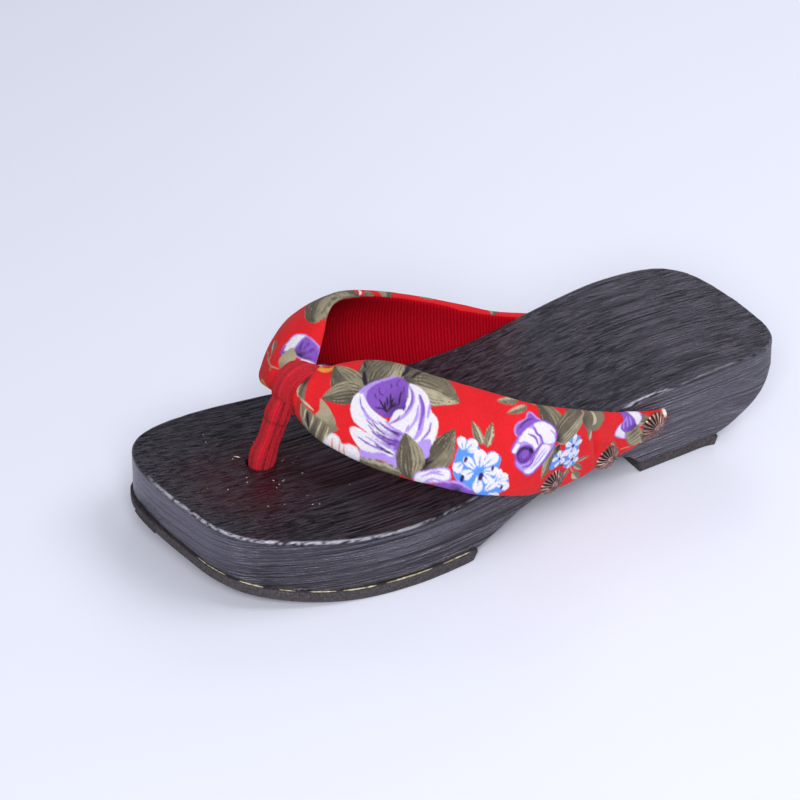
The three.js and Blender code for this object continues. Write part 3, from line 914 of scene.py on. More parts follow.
def line_distance(p, line):
    """Distance of flat points to a short open line."""
    return np.sqrt(segment_gaps(p, line[:-1], line[1:])[0].min(1))


def smooth_line(points, count=24):
    points = np.asarray(points, float)
    return spline(points)(np.linspace(0, len(points) - 1, count))


def wing_rows(start, end, pitch):
    """Places along the rows, evenly spaced along the strap's middle."""
    fine = np.linspace(start, end, 900)
    s = strap_frame(fine)
    middle = (s.back + s.front) / 2
    length = travelled(middle)
    return np.interp(np.linspace(0, length[-1], int(length[-1] / pitch)), length, fine)


def rounded_edge(wall, width):
    """How wide the rounding of the strap's edge is."""
    return np.minimum(0.62 * wall, 0.3 * width)


def section(rows, faces=84, quarter=7, fold=12, inside=8):
    """The strap's section at each row as a ring of (distance from the back edge, depth), both in
    mm, with the place across the flat cloth that each point of the ring has."""
    s = strap_frame(rows)
    width = np.linalg.norm(s.chord, axis=-1)[:, None]
    wall = s.wall[:, None]
    end = rounded_edge(wall, width)
    fold_width = np.minimum(FOLD_WIDTH, 0.2 * width)
    turn = np.linspace(0, math.pi / 2, quarter, endpoint=False)
    sin, cos = np.sin(turn), np.cos(turn)
    face = np.linspace(0, 1, faces)
    run = np.linspace(0, 1, fold)
    middle = np.linspace(0, 1, inside + 2)[1:-1]
    a = np.concatenate([
        end * (1 - cos), end + (width - 2 * end) * face, width - end * (1 - cos[::-1]),
        width - end * (1 - cos[1:]), width - end - fold_width * run,
        width - end - fold_width + (2 * end + 2 * fold_width - width) * middle,
        end + fold_width - fold_width * run, end * (1 - cos[::-1][:-1])], axis=1)
    one = np.ones_like(width)
    half = np.concatenate([one * sin, one * np.ones(faces), one * sin[::-1], -one * sin[1:],
                           -one * np.ones(2 * fold + inside), -one * sin[::-1][:-1]], axis=1)
    depth = s.crown[:, None] * np.sin(math.pi * a / width) - wall / 2 + half * wall / 2
    step = np.hypot(np.diff(a, axis=1), np.diff(depth, axis=1))
    arc = np.concatenate([np.zeros_like(width), np.cumsum(step, axis=1)], axis=1)
    apex = 2 * quarter + faces - 1
    total = arc[:, -1:] + np.hypot(a[:, -1:], depth[:, -1:] - depth[:, :1])
    index = np.arange(a.shape[1])[None]
    across = np.where(index <= apex, a, np.where(
        index < apex + quarter + fold + inside // 2, width + arc - arc[:, apex:apex + 1], arc - total))
    return s, a, depth, across / width


def ring_ways(points):
    """The ways out of a grid of rings, from the grid's own slopes."""
    along = np.gradient(points, axis=0)
    around = np.roll(points, -1, axis=1) - np.roll(points, 1, axis=1)
    way = unit(np.cross(around, along))
    centre = points.mean(axis=1, keepdims=True)
    return way * np.sign(((points - centre) * way).sum(-1).mean())


def clear_of_wood(points, gap=0.15):
    """Points inside the wood's side wall come out to just off it."""
    rim, out = rim_outline(720)
    p = points.reshape(-1, 3)
    low = np.nonzero(p[:, 2] < deck_height(p[:, 1]) + 0.4)[0]
    q = p[low]
    nearest, _ = nearest_on_rim(q, rim)
    lean = wall_draft(rim[nearest, 1]) * (q[:, 2] - deck_height(rim[nearest, 1]))
    inside = gap - (((q[:, :2] - rim[nearest]) * out[nearest]).sum(-1) - lean)
    push = np.clip(inside, 0, None)[:, None] * out[nearest]
    moved = p.copy()
    moved[low, :2] += push
    return moved.reshape(points.shape)


def flat_places(rows, across):
    """Places on the flat-laid cloth, in mm, of points across the strap at each row."""
    fine = np.linspace(0, LAST_ROW, 1201)
    back, front = flat_rows(fine)
    edges = [np.column_stack([np.interp(rows, fine, e[:, k]) for k in range(2)]) for e in (back, front)]
    return edges[0][:, None] + (edges[1] - edges[0])[:, None] * across[..., None]


def build_cover(name, start, end, material, replaced):
    """One wing of the padded strap in its printed cloth, from the loop to its nailed end."""
    rows = wing_rows(start, end, 0.36)
    s, a, depth, across = section(rows)
    chord = unit(s.chord)
    points = s.back[:, None] + chord[:, None] * a[..., None] + s.outward[:, None] * depth[..., None]
    flat = flat_places(rows, across)
    ways = ring_ways(points)
    outer = (across > 0.02) & (across < 0.98)
    lift = np.zeros(across.shape)
    at = flat.reshape(-1, 2)
    for line, height, width in CREASES:
        line = smooth_line(line, 12)
        near = np.nonzero(np.abs(at - line.mean(0)).max(1) < 22)[0]
        gap = line_distance(at[near], line)
        lift.ravel()[near] += height * np.exp(-(gap / width) ** 2) * outer.ravel()[near]
    lift += 0.16 * noise(points / 9, 61) + 0.05 * noise(points / 3.2, 62)
    for row, place in TACK_PLACES.values():
        if min(start, end) <= row <= max(start, end):
            seat = flat_places(np.array([float(row)]), np.array([[place]]))[0, 0]
            gap = np.linalg.norm(flat - seat, axis=-1)
            lift -= 0.7 * np.exp(-(gap / 5.5) ** 2) * outer
            lift += 0.45 * np.exp(-((gap - 8.5) / 2.2) ** 2) * noise(flat / 4, 64) * outer
    squeezed = 1 - smoothstep(np.abs(rows - LOOP_ROW), 0.55, 1.1)
    lift -= 0.75 * squeezed[:, None]
    points = clear_of_wood(points + ways * lift[..., None])
    made = piece(name, *skin(points), material, "print_cotton", replaced, sharp_angle=70)
    caps = np.zeros((2, 2)) + flat[-1].mean(0)
    cloth = Cloth(np.vstack([at, caps]))
    paint_print(cloth)
    add_values(made.data, "print", np.column_stack([cloth.colours, np.ones(len(cloth.colours))]))


def build_lining(name, start, end, material):
    """The ribbed lining of one wing, a thin sheet sewn on behind the turned edges."""
    rows = wing_rows(start, end, 0.6)[1:-1]
    s = strap_frame(rows)
    width = np.linalg.norm(s.chord, axis=-1)[:, None]
    wall = s.wall[:, None]
    end = rounded_edge(wall, width)
    share = np.linspace(0, 1, 72)[None]
    a = LINING_EDGE * end + (width - 2 * LINING_EDGE * end) * share
    from_edge = np.clip(np.minimum(a, width - a) / end, 0, 1)
    behind = wall / 2 * (1 + np.sqrt(1 - (1 - from_edge) ** 2))
    depth = s.crown[:, None] * np.sin(math.pi * a / width) - behind
    way = unit(np.stack([np.gradient(depth, axis=1), -np.gradient(a, axis=1)], axis=-1))
    rounded = 1 - np.abs(2 * share - 1) ** 16
    base = np.stack([a, depth], axis=-1)
    front, back = base + way * (0.3 * rounded)[..., None], base - way * (0.3 * rounded)[..., None]
    both = np.concatenate([front, back[:, ::-1]], axis=1)
    a, depth = both[..., 0], both[..., 1]
    points = s.back[:, None] + unit(s.chord)[:, None] * a[..., None] + s.outward[:, None] * depth[...,
                                                                                                  None]
    points = points + ring_ways(points) * 0.05 * noise(points / 4, 71)[..., None]
    points = clear_of_wood(points, 0.1)
    made = piece(name, *skin(points), material, "print_cotton", sharp_angle=70)
    flat = flat_places(rows, a / width).reshape(-1, 2)
    flat = np.vstack([flat, flat[:1], flat[-1:]])
    add_values(made.data, "flat", strap_grain(flat))


def strap_grain(flat):
    """The lining's own directions: along each wing and across it."""
    side = np.sign(flat[:, 0].mean())
    lean = math.radians(62)
    x, y = flat[:, 0] * side, flat[:, 1]
    return np.column_stack([x * math.cos(lean) - y * math.sin(lean),
                            x * math.sin(lean) + y * math.cos(lean), np.zeros(len(x))])


# ---------------------------------------------------------------- the print, charted
#
# All places are millimetres on the cloth laid out flat: (0, 0) is the back edge under the thong's
# loop, +X runs along the outer wing, -X along the inner wing, and +Y towards the front edge.

GROUND = linear(233, 36, 43)
WHITE, LILAC = linear(243, 240, 249), linear(186, 158, 243)
PURPLE, DEEP_PURPLE, INK = linear(140, 92, 200), linear(92, 58, 146), linear(42, 38, 54)
OLIVE, DARK_OLIVE, KHAKI, PALE_KHAKI = (linear(134, 127, 106), linear(86, 82, 72), linear(176, 167, 138),
                                        linear(206, 198, 168))
SKY, NAVY, ORANGE = linear(92, 158, 246), linear(50, 36, 108), linear(238, 160, 56)


def outline_distance(p, ring):
    """How far inside a closed outline each point is, below 0 outside."""
    a, b = ring, np.roll(ring, -1, axis=0)
    ab = b - a
    gap = np.sqrt(segment_gaps(p, a, b)[0].min(1))
    crosses = (a[:, 1] > p[:, 1:]) != (b[:, 1] > p[:, 1:])
    rise = np.where(np.abs(ab[:, 1]) < 1e-12, 1e-12, ab[:, 1])
    inside = (crosses & (p[:, :1] < a[:, 0] + ab[:, 0] * (p[:, 1:] - a[:, 1]) / rise)).sum(1) % 2 == 1
    return np.where(inside, gap, -gap)


class Cloth:
    """The printed cloth laid out flat: where its points are and their colours so far. move turns
    a motif's own places into places on the cloth."""

    def __init__(self, points):
        self.points = points
        tone = 1 + 0.05 * noise(points / 6, 81)[:, None]
        self.colours = GROUND * tone
        self.move()

    def move(self, home=(0, 0), away=(0, 0), degrees=0, size=1.0):
        """Motifs drawn round home are printed round away, turned and resized."""
        c, s = math.cos(math.radians(degrees)), math.sin(math.radians(degrees))
        self.home, self.away = np.array(home, float), np.array(away, float)
        self.turn, self.size = np.array([[c, -s], [s, c]]), size

    def placed(self, points):
        return (np.atleast_2d(np.asarray(points,
                                         float)) - self.home) @ self.turn.T * self.size + self.away

    def near(self, points, margin):
        low, high = points.min(0) - margin, points.max(0) + margin
        return np.nonzero(((self.points > low) & (self.points < high)).all(1))[0]

    def lay(self, chosen, cover, colour):
        cover = np.clip(cover, 0, 1)[:, None]
        self.colours[chosen] = blend(self.colours[chosen], colour, cover)

    def patch(self, outline, colour, rim=None, shade=None):
        """A filled outline with soft corners; rim is a line of another colour along its edge, and
        shade a colour that comes in from a point, as (colour, point, reach)."""
        ring = self.placed(outline)
        ring = spline(ring, closed=True)(np.linspace(0, len(ring), 9 * len(ring), endpoint=False))
        chosen = self.near(ring, 1)
        if not len(chosen):
            return
        p = self.points[chosen]
        deep = outline_distance(p, ring) + 0.12 * noise(p / 0.8, 83)
        tone = np.tile(colour, (len(p), 1))
        if shade is not None:
            other, point, reach = shade
            gap = np.linalg.norm(p - self.placed(point)[0], axis=1) / (reach * self.size)
            share = np.clip(1.1 - gap + 0.25 * noise(p / (0.7, 2.0), 84), 0, 1)[:, None]
            tone = blend(tone, other, share)
        if rim is not None:
            edge = smoothstep(deep, 0.75, 0.25)[:, None]
            tone = blend(tone, rim, edge)
        self.lay(chosen, smoothstep(deep, -0.2, 0.2), tone)

    def stroke(self, points, width, colour):
        """A brush line that thins out at both ends."""
        line = self.placed(points)
        if len(line) > 2:
            line = smooth_line(line, 8 * len(line))
        width = width * self.size
        chosen = self.near(line, width)
        if not len(chosen):
            return
        p = self.points[chosen]
        gap, share = segment_gaps(p, line[:-1], line[1:])
        best = gap.argmin(1)
        place = (best + share[np.arange(len(p)), best]) / (len(line) - 1)
        thick = width / 2 * (0.35 + 0.65 * np.sin(math.pi * np.clip(place, 0, 1)) ** 0.7)
        self.lay(chosen, smoothstep(np.sqrt(gap.min(1)) - thick, 0.18, -0.14), colour)

    def strokes(self, width, colour, *lines):
        for line in lines:
            self.stroke(line, width, colour)

    def along(self, base, tip, margin):
        """The points near a motif's middle line, which runs from base to tip: which they are, their
        places from its base, their share of its length, how far they are off it, and its length."""
        axis = tip - base
        length = np.hypot(*axis)
        axis = axis / length
        chosen = self.near(np.array([base, tip]), margin)
        p = self.points[chosen] - base
        return chosen, p, p @ axis / length, p @ np.array([-axis[1], axis[0]]), length

    def leaves(self, *rows):
        for row in rows:
            self.leaf(*row)

    def leaf(self, base, tip, half_width, tone, bend=0.0, dark=0):
        """A pointed leaf with long veins: tone is 0 for dark olive to 1 for pale khaki, bend bows
        it to one side and dark is how much of its base is inked."""
        base, tip = self.placed(base)[0], self.placed(tip)[0]
        half_width = half_width * self.size
        margin = half_width + abs(bend) * self.size + 1
        chosen, p, u, v, length = self.along(base, tip, margin)
        if not len(chosen):
            return
        inner = np.clip(u, 0.001, 0.999)
        v = v - bend * self.size * np.sin(math.pi * inner)
        across = half_width * np.sin(math.pi * inner ** 0.72) ** 0.82 * (1 + 0.05 * noise(p / 2.2, 91))
        lateral = v / np.maximum(across, 0.05)
        seed = int(abs(base[0] * 3 + base[1] * 7)) % 50
        veins = np.sin(lateral * math.pi * max(3.0, half_width * 1.4) + 0.9 * noise(p / (3, 3), seed))
        broken = noise(np.column_stack([u * length / 3.0, lateral * 5]), seed + 1)
        light = 0.5 * (1 + np.tanh(6 * (lateral + 0.15 * noise(p / 3, seed + 2))))
        share = np.clip(tone * 0.75 + 0.5 * (light - 0.5) + 0.10 * noise(p / 1.6, 92), 0, 1)[:, None]
        colour = np.where(share < 0.5, DARK_OLIVE + (OLIVE - DARK_OLIVE) * share * 2,
                          OLIVE + (PALE_KHAKI - OLIVE) * (share * 2 - 1))
        line = (smoothstep(veins, 0.45, 0.95) * smoothstep(broken, -0.6, 0.2) * 0.8)[:, None]
        colour = blend(colour, DARK_OLIVE * 0.75, line)
        pale = (smoothstep(-veins, 0.55, 1.0) * smoothstep(broken, -0.2, 0.5) * 0.45)[:, None]
        colour = blend(colour, PALE_KHAKI, pale)
        rib = np.exp(-(v / 0.28) ** 2)[:, None] * 0.6
        colour = blend(colour, DARK_OLIVE * 0.8, rib)
        inked = (dark * smoothstep(u, 0.30, 0.02) * smoothstep(np.abs(lateral), 1.0, 0.3))[:, None]
        colour = blend(colour, INK, inked)
        deep = np.minimum(across - np.abs(v), np.minimum(u, 1 - u) * length + 0.2)
        self.lay(chosen, smoothstep(deep, -0.16, 0.2), colour)

    def petal(self, base, tip, half_width):
        """A round-ended white petal with a few blue veins from its base."""
        base, tip = self.placed(base)[0], self.placed(tip)[0]
        half_width = half_width * self.size
        chosen, _, u, v, length = self.along(base, tip, half_width + 1)
        if not len(chosen):
            return
        inner = np.clip(u, 0.001, 0.999)
        rounded = np.clip(1 - np.clip((inner - 0.62) / 0.38, 0, 1) ** 2.4, 0, 1)
        across = half_width * np.clip(inner * 1.9, 0, 1) ** 0.7 * np.sqrt(rounded)
        lateral = v / np.maximum(across, 0.05)
        lines = smoothstep(np.cos(lateral * math.pi * 2.0), 0.25, 0.95) * smoothstep(u, 0.82, 0.35)
        lines = np.maximum(lines, smoothstep(u, 0.25, 0.05))[:, None]
        deep = np.minimum(across - np.abs(v), np.minimum(u, 1 - u) * length + 0.1)
        self.lay(chosen, smoothstep(deep, -0.16, 0.16), blend(WHITE, SKY, lines))


def paint_big_rose(cloth):
    """A full rose: a deep hollow at its upper left and wide petals that fold round it."""
    cloth.patch([(27, -20), (24.6, -16), (22.6, -12), (22, -8), (23, -3), (25.5, -0.5), (29, -6),
                 (29, -14)],
                LILAC)
    cloth.patch([(44, -9.5), (55, -10), (54.4, -4), (51, 2.6), (45.6, 3.4), (40, 8.2), (36.6, 6.4),
                 (38, 3),
                 (44, 0)], LILAC)
    cloth.patch([(29.4, 4.4), (31, 2.2), (35, 1), (40, 0), (46.5, -1.2), (47, 0.6), (43.4, 2), (41, 4.4),
                 (37, 6.3), (33, 6)], WHITE)
    cloth.patch([(22.8, -6.6), (22.8, -3.2), (25.3, 0), (29.2, 1.6), (34, 1), (40, 0), (46.6, -1.8),
                 (46, -8), (38, -7), (30, -6)], WHITE, shade=(PURPLE, (46.4, -3.4), 8.6))
    cloth.patch([(32.6, -21.6), (37, -23.3), (41, -22.6), (45, -20.2), (48.5, -19.8), (51.6, -17),
                 (53.4, -13.5), (53.6, -9.6), (50, -8.8), (44.5, -8.2), (39, -7), (38.5, -13),
                 (36, -18)], WHITE)
    cloth.patch([(51.6, -13), (53.6, -12), (54.8, -8.8), (50.6, -9), (50, -10)], LILAC)
    for line, width, colour in [
            ([(33, -21), (37, -19.4), (39.4, -16), (40.2, -12), (39.6, -8.6)], 1.3, LILAC),
            ([(35, -20.6), (38.4, -17.4), (39.8, -13.4)], 0.7, PURPLE),
            ([(38, -21.2), (42, -19), (45.4, -15.4), (47.8, -12), (48.4, -9)], 1.9, LILAC),
            ([(38.2, -21.2), (42, -19.2), (45, -16), (47, -12.6)], 1.1, PURPLE),
            ([(40.6, -18.4), (43.6, -14.6), (45, -9)], 0.9, LILAC),
            ([(42.6, -22), (46, -17.6)], 0.9, LILAC),
            ([(48, -17.4), (49.8, -14.4), (50.2, -10.6)], 0.7, PURPLE),
            ([(43.6, -11.4), (44.6, -9)], 0.7, LILAC),
            ([(37.6, -3.4), (42, -4.2), (46, -6.4)], 0.6, LILAC),
            ([(33.6, -3), (37, -2.8), (40.6, -3.2)], 0.5, DEEP_PURPLE),
            ([(30, -2.6), (33, -2.8)], 0.45, LILAC),
            ([(38.6, 0.4), (43, -0.6), (46.4, -1.8)], 0.5, LILAC),
            ([(44.6, -17.6), (46.8, -14)], 0.5, LILAC),
            ([(24, -5.8), (27, -4), (31, -3.2), (36, -4)], 0.9, LILAC),
            ([(24.6, -5.2), (27.4, -4), (29.6, -3.8)], 0.6, PURPLE),
            ([(31.6, -2), (35.6, -2.2)], 0.5, PURPLE),
            ([(33.4, -1.2), (36.6, -1.2)], 0.4, PURPLE),
            ([(36, -0.6), (41, -1.6), (45.6, -3)], 0.9, PURPLE),
            ([(37.4, -1.6), (42, -2.8), (45.8, -5)], 0.6, DEEP_PURPLE),
            ([(35, -4.6), (40, -5.4), (45, -7.6)], 0.8, PURPLE),
            ([(36, -6.4), (41, -6.8), (45.4, -8.4)], 0.7, LILAC), ([(41, -5.4), (44, -6.6)], 0.5, INK),
            ([(43, -1.6), (45.2, -3.4)], 0.6, DEEP_PURPLE),
            ([(33.6, 4.2), (38, 3.2), (43.4, 1.2)], 0.6, PURPLE),
            ([(40, 1.6), (44, 0.6), (47, -0.4)], 0.8, DEEP_PURPLE),
            ([(35, 2.2), (39, 1.2), (43, 0.4)], 0.5, LILAC)]:
        cloth.stroke(line, width, colour)
    cloth.patch([(28, -20.6), (31, -21.4), (34, -19.8), (36.8, -16.5), (38.9, -13.9), (37.2, -11.5),
                 (37.4, -8.6), (34, -6.6), (30, -6), (26, -7), (24, -10), (24.8, -14.5), (26.6, -18)],
                PURPLE, shade=(DEEP_PURPLE, (37.6, -12.5), 8))
    cloth.strokes(0.5, DEEP_PURPLE, [(26, -13), (28, -11.8), (29.6, -12.2)], [(28, -17), (29.6, -16)],
                  [(29, -20), (29.4, -18.4), (31, -18)],
                 [(26.6, -10.4), (28.6, -9.6)], [(32, -19.6), (34, -17.6)])
    cloth.strokes(0.62, INK, [(32.8, -17.8), (34.5, -15.5), (36, -14)], [(31, -14.4), (33.6, -12)],
                  [(31, -12.6), (33.6, -10.8)],
                 [(33, -13.8), (34.6, -11)], [(29.4, -10.2), (32.5, -9.6), (35, -9.2)],
                 [(30.8, -7.1), (33, -8.8), (35, -9.2)],
                 [(34.6, -13.6), (34.9, -9.2)], [(36, -14), (35, -11.6), (35, -9)],
                 [(31.6, -11), (34, -9.6)])
    cloth.patch([(23.4, -7.2), (26, -6.6), (30, -5.4), (34, -5.6), (37.2, -7.2), (35.4, -4.6),
                 (30, -3.8), (26, -4.6)], WHITE)
    cloth.patch([(37.1, -12.3), (38.4, -13.4), (39.5, -12), (39.7, -9), (38.6, -6.8), (37.8, -8.6),
                 (37.1, -10.4)], WHITE)
    cloth.stroke([(39.2, -11.6), (39.6, -9.6), (38.8, -7)], 0.7, PURPLE)


def paint_small_rose(cloth):
    """A half-open rose with purple petals on one side and a dark swirl at its heart."""
    cloth.patch([(67.3, -44.5), (68, -45.6), (71, -46), (73.4, -46.6), (72.4, -43), (71.4, -39),
                 (73.4, -34.4),
                 (71, -35.8), (68.5, -36.6), (67.3, -39.5), (68.1, -42.4)], PURPLE, rim=LILAC)
    cloth.stroke([(70, -44.6), (68.8, -42), (69, -38.6)], 0.8, DEEP_PURPLE)
    cloth.patch([(71, -44), (74, -47.6), (78.5, -48.6), (82, -46.6), (84.5, -42), (85.6, -36),
                 (85, -30.6),
                 (81, -29), (77.5, -28.9), (75, -31), (73, -31), (71.3, -34), (70.4, -39)], LILAC,
                 rim=PURPLE)
    cloth.patch([(71.4, -43.6), (73.5, -46.6), (78, -48.1), (81, -46.6), (82, -44.6), (79.5, -42.4),
                 (76, -42),
                 (73, -43)], WHITE)
    cloth.patch([(70.9, -40.6), (74, -42.2), (77.6, -40.8), (78.6, -38), (76, -38.2), (73.5, -37),
                 (72, -35.4)], WHITE)
    cloth.patch([(79.2, -41), (82.4, -43), (84.1, -39), (84.7, -34), (84, -31), (81.5, -30), (82.2, -33),
                 (80.6, -37)], WHITE)
    cloth.patch([(72.3, -34.4), (73.4, -34.6), (74.4, -31.8), (73.2, -31.4)], WHITE)
    for line, width, colour in [
            ([(77.4, -46.6), (80, -47), (81.6, -46)], 0.6, LILAC),
            ([(72.4, -39.6), (75, -40.6), (78, -39.8)], 0.8, PURPLE),
            ([(72.2, -42.6), (74.4, -42), (76.4, -42.4), (79, -41.4)], 0.8, PURPLE),
            ([(78.6, -41.6), (79, -38), (80.4, -34)], 1.0, PURPLE),
            ([(82.2, -41), (83, -36), (82.8, -32)], 0.6, LILAC),
            ([(81, -41), (81.6, -37), (82.6, -34)], 0.5, LILAC),
            ([(80.6, -36), (81.4, -33), (80, -30.4)], 0.9, PURPLE),
            ([(83.6, -43.6), (85, -38), (85, -33)], 0.8, PURPLE)]:
        cloth.stroke(line, width, colour)
    cloth.patch([(73.8, -34.6), (75, -37), (77.4, -37.6), (79.6, -35.8), (80, -32.6), (78.4, -30.4),
                 (75.8, -30.6),
                 (74.2, -32.4)], DEEP_PURPLE, rim=PURPLE)
    cloth.patch([(75.6, -34.6), (77.2, -35.6), (78.8, -34), (78.2, -31.8), (76.2, -32)], PURPLE)
    cloth.patch([(76.4, -36.6), (77.6, -37.4), (78.8, -36.6), (77.6, -35.8)], INK)
    cloth.stroke([(75.2, -31.6), (74.6, -34.4), (76, -36.2)], 0.5, INK)
    cloth.stroke([(76.4, -32.8), (77.4, -32), (78.6, -33.2), (78, -34.6)], 0.45, DEEP_PURPLE)


def paint_blossoms(cloth):
    """A cluster of small white blossoms veined in blue."""
    cloth.patch([(59.4, -21.6), (63.4, -24), (67.4, -23.4), (69, -26.6), (72.6, -26.8), (75, -23.6),
                 (79, -24.4),
                 (82.4, -22), (82.2, -19.6), (79.6, -14.4), (75.4, -11.6), (68, -10.4), (64, -12.4),
                 (61.6, -16.4)], SKY)
    for base, tip, half in [
            ((62.6, -18.8), (58.2, -21.8), 1.6), ((62.8, -19.6), (62.6, -24.8), 1.9),
            ((63.4, -19.4), (65, -23), 1.0),
            ((70.3, -18.6), (66, -23.8), 2.2), ((70.6, -19.6), (70.6, -27), 2.0),
            ((71.4, -19), (75.4, -23.4), 1.6),
            ((70.2, -17.8), (64.2, -17.8), 1.6), ((69.8, -17.2), (68.4, -12.6), 1.8),
            ((71.4, -17.6), (76, -12.8), 1.8),
            ((71.8, -18.4), (76.6, -18.6), 1.6), ((65.2, -16.4), (65.2, -12), 1.9),
            ((77.4, -19.6), (78.6, -24.8), 1.7),
            ((77.8, -19.4), (82.4, -22.6), 1.7), ((77.4, -14.6), (77.4, -21), 1.7),
            ((77.6, -19.8), (75.4, -24.4), 1.0),
            ((78.8, -14.8), (83.4, -17.6), 1.6)]:
        cloth.petal(base, tip, half)
    for x, y, size in ((65, -17.6, 0.7), (72.6, -17.4, 1.0), (73.2, -22.4, 0.6), (80.6, -20.4, 0.6),
                       (68.9, -12.3, 0.9)):
        cloth.patch([(x - size, y - size), (x + size * 0.4, y - size), (x + size, y + size),
                     (x - size * 0.3, y + size)], NAVY)


def paint_bluebells(cloth):
    """A spray of three pale blue flowers."""
    for outline in ([(87.6, -49.6), (91, -54.6), (95.6, -51.4), (95.4, -47.6), (91, -46.4)],
                    [(93.4, -46.4), (96.4, -51), (101, -48.4), (99.4, -44.4), (95.4, -43.6)],
                    [(87.2, -43.6), (90.4, -47), (94, -44), (91.6, -38.6), (88.4, -40.6)]):
        cloth.patch(outline, SKY)
    for centre, radius, first in (((91.6, -50.4), 4.6, 10), ((97.2, -47.6), 4.2, -30),
                                  ((90.6, -43.6), 3.6, 60)):
        cx, cy = centre
        for k in range(5):
            turn = math.radians(first + 72 * k)
            tip = (cx + radius * math.cos(turn), cy + radius * math.sin(turn))
            cloth.petal(centre, tip, 1.05)
        cloth.patch([(cx - 0.6, cy - 0.5), (cx + 0.5, cy - 0.6), (cx + 0.6, cy + 0.5),
                     (cx - 0.5, cy + 0.6)], NAVY)
    cloth.stroke([(92, -49), (90.4, -46), (90.8, -44)], 1.4, WHITE)
    cloth.stroke([(90.6, -43), (90.2, -38.6)], 1.5, SKY)
    cloth.stroke([(92.8, -41.8), (97, -44.6)], 0.5, NAVY)


def paint_sprig(cloth):
    """A twig with four small khaki leaves."""
    cloth.stroke([(98.6, -46), (103, -45.8), (107.4, -46.4)], 0.5, KHAKI)
    for base, tip, half in (((101.4, -49), (103.8, -54), 0.9), ((101.2, -47.4), (108.8, -49.6), 1.3),
                            ((105.6, -45.9), (113.6, -47.2), 1.7), ((101, -44.8), (103.8, -41.4), 1.4)):
        cloth.leaf(base, tip, half, 0.95)


def paint_bud(cloth):
    """A purple bud between two white petals, with khaki leaves behind it."""
    cloth.patch([(112, -70.4), (116, -69.6), (121, -70.4), (124, -73), (121, -76.6), (115, -76.4),
                 (112.6, -73)], KHAKI,
                rim=OLIVE, shade=(OLIVE, (114, -74), 5))
    for k in range(4):
        cloth.stroke([(114 + 2 * k, -70.6), (114.6 + 2 * k, -73.4), (116 + 1.6 * k, -75.8)], 0.45,
                     DARK_OLIVE)
    cloth.leaf((112, -77), (118, -81.6), 2.4, 0.75)
    cloth.leaf((119, -75.4), (128, -75), 1.6, 0.7)
    cloth.patch([(104.6, -74.6), (107.6, -78.4), (112.4, -79.6), (114, -76.6), (112, -75), (107, -74.6)],
                WHITE, rim=LILAC)
    cloth.patch([(106.2, -71.6), (106.8, -67.6), (109.6, -66.8), (114, -69.2), (112, -70.6)], WHITE,
                rim=LILAC)
    cloth.patch([(103, -73.8), (105.4, -75.4), (109.4, -76.2), (113.4, -75.6), (113.4, -73),
                 (111, -70.6), (107.4, -70),
                 (105.4, -72.6)], PURPLE, shade=(DEEP_PURPLE, (113.6, -74.4), 4))
    cloth.strokes(0.55, LILAC, [(106.6, -72), (109, -70.8)], [(107, -73.6), (110, -72.4)],
                  [(107.4, -75), (110.6, -74)], [(106.4, -74.4), (106.6, -71.6)])


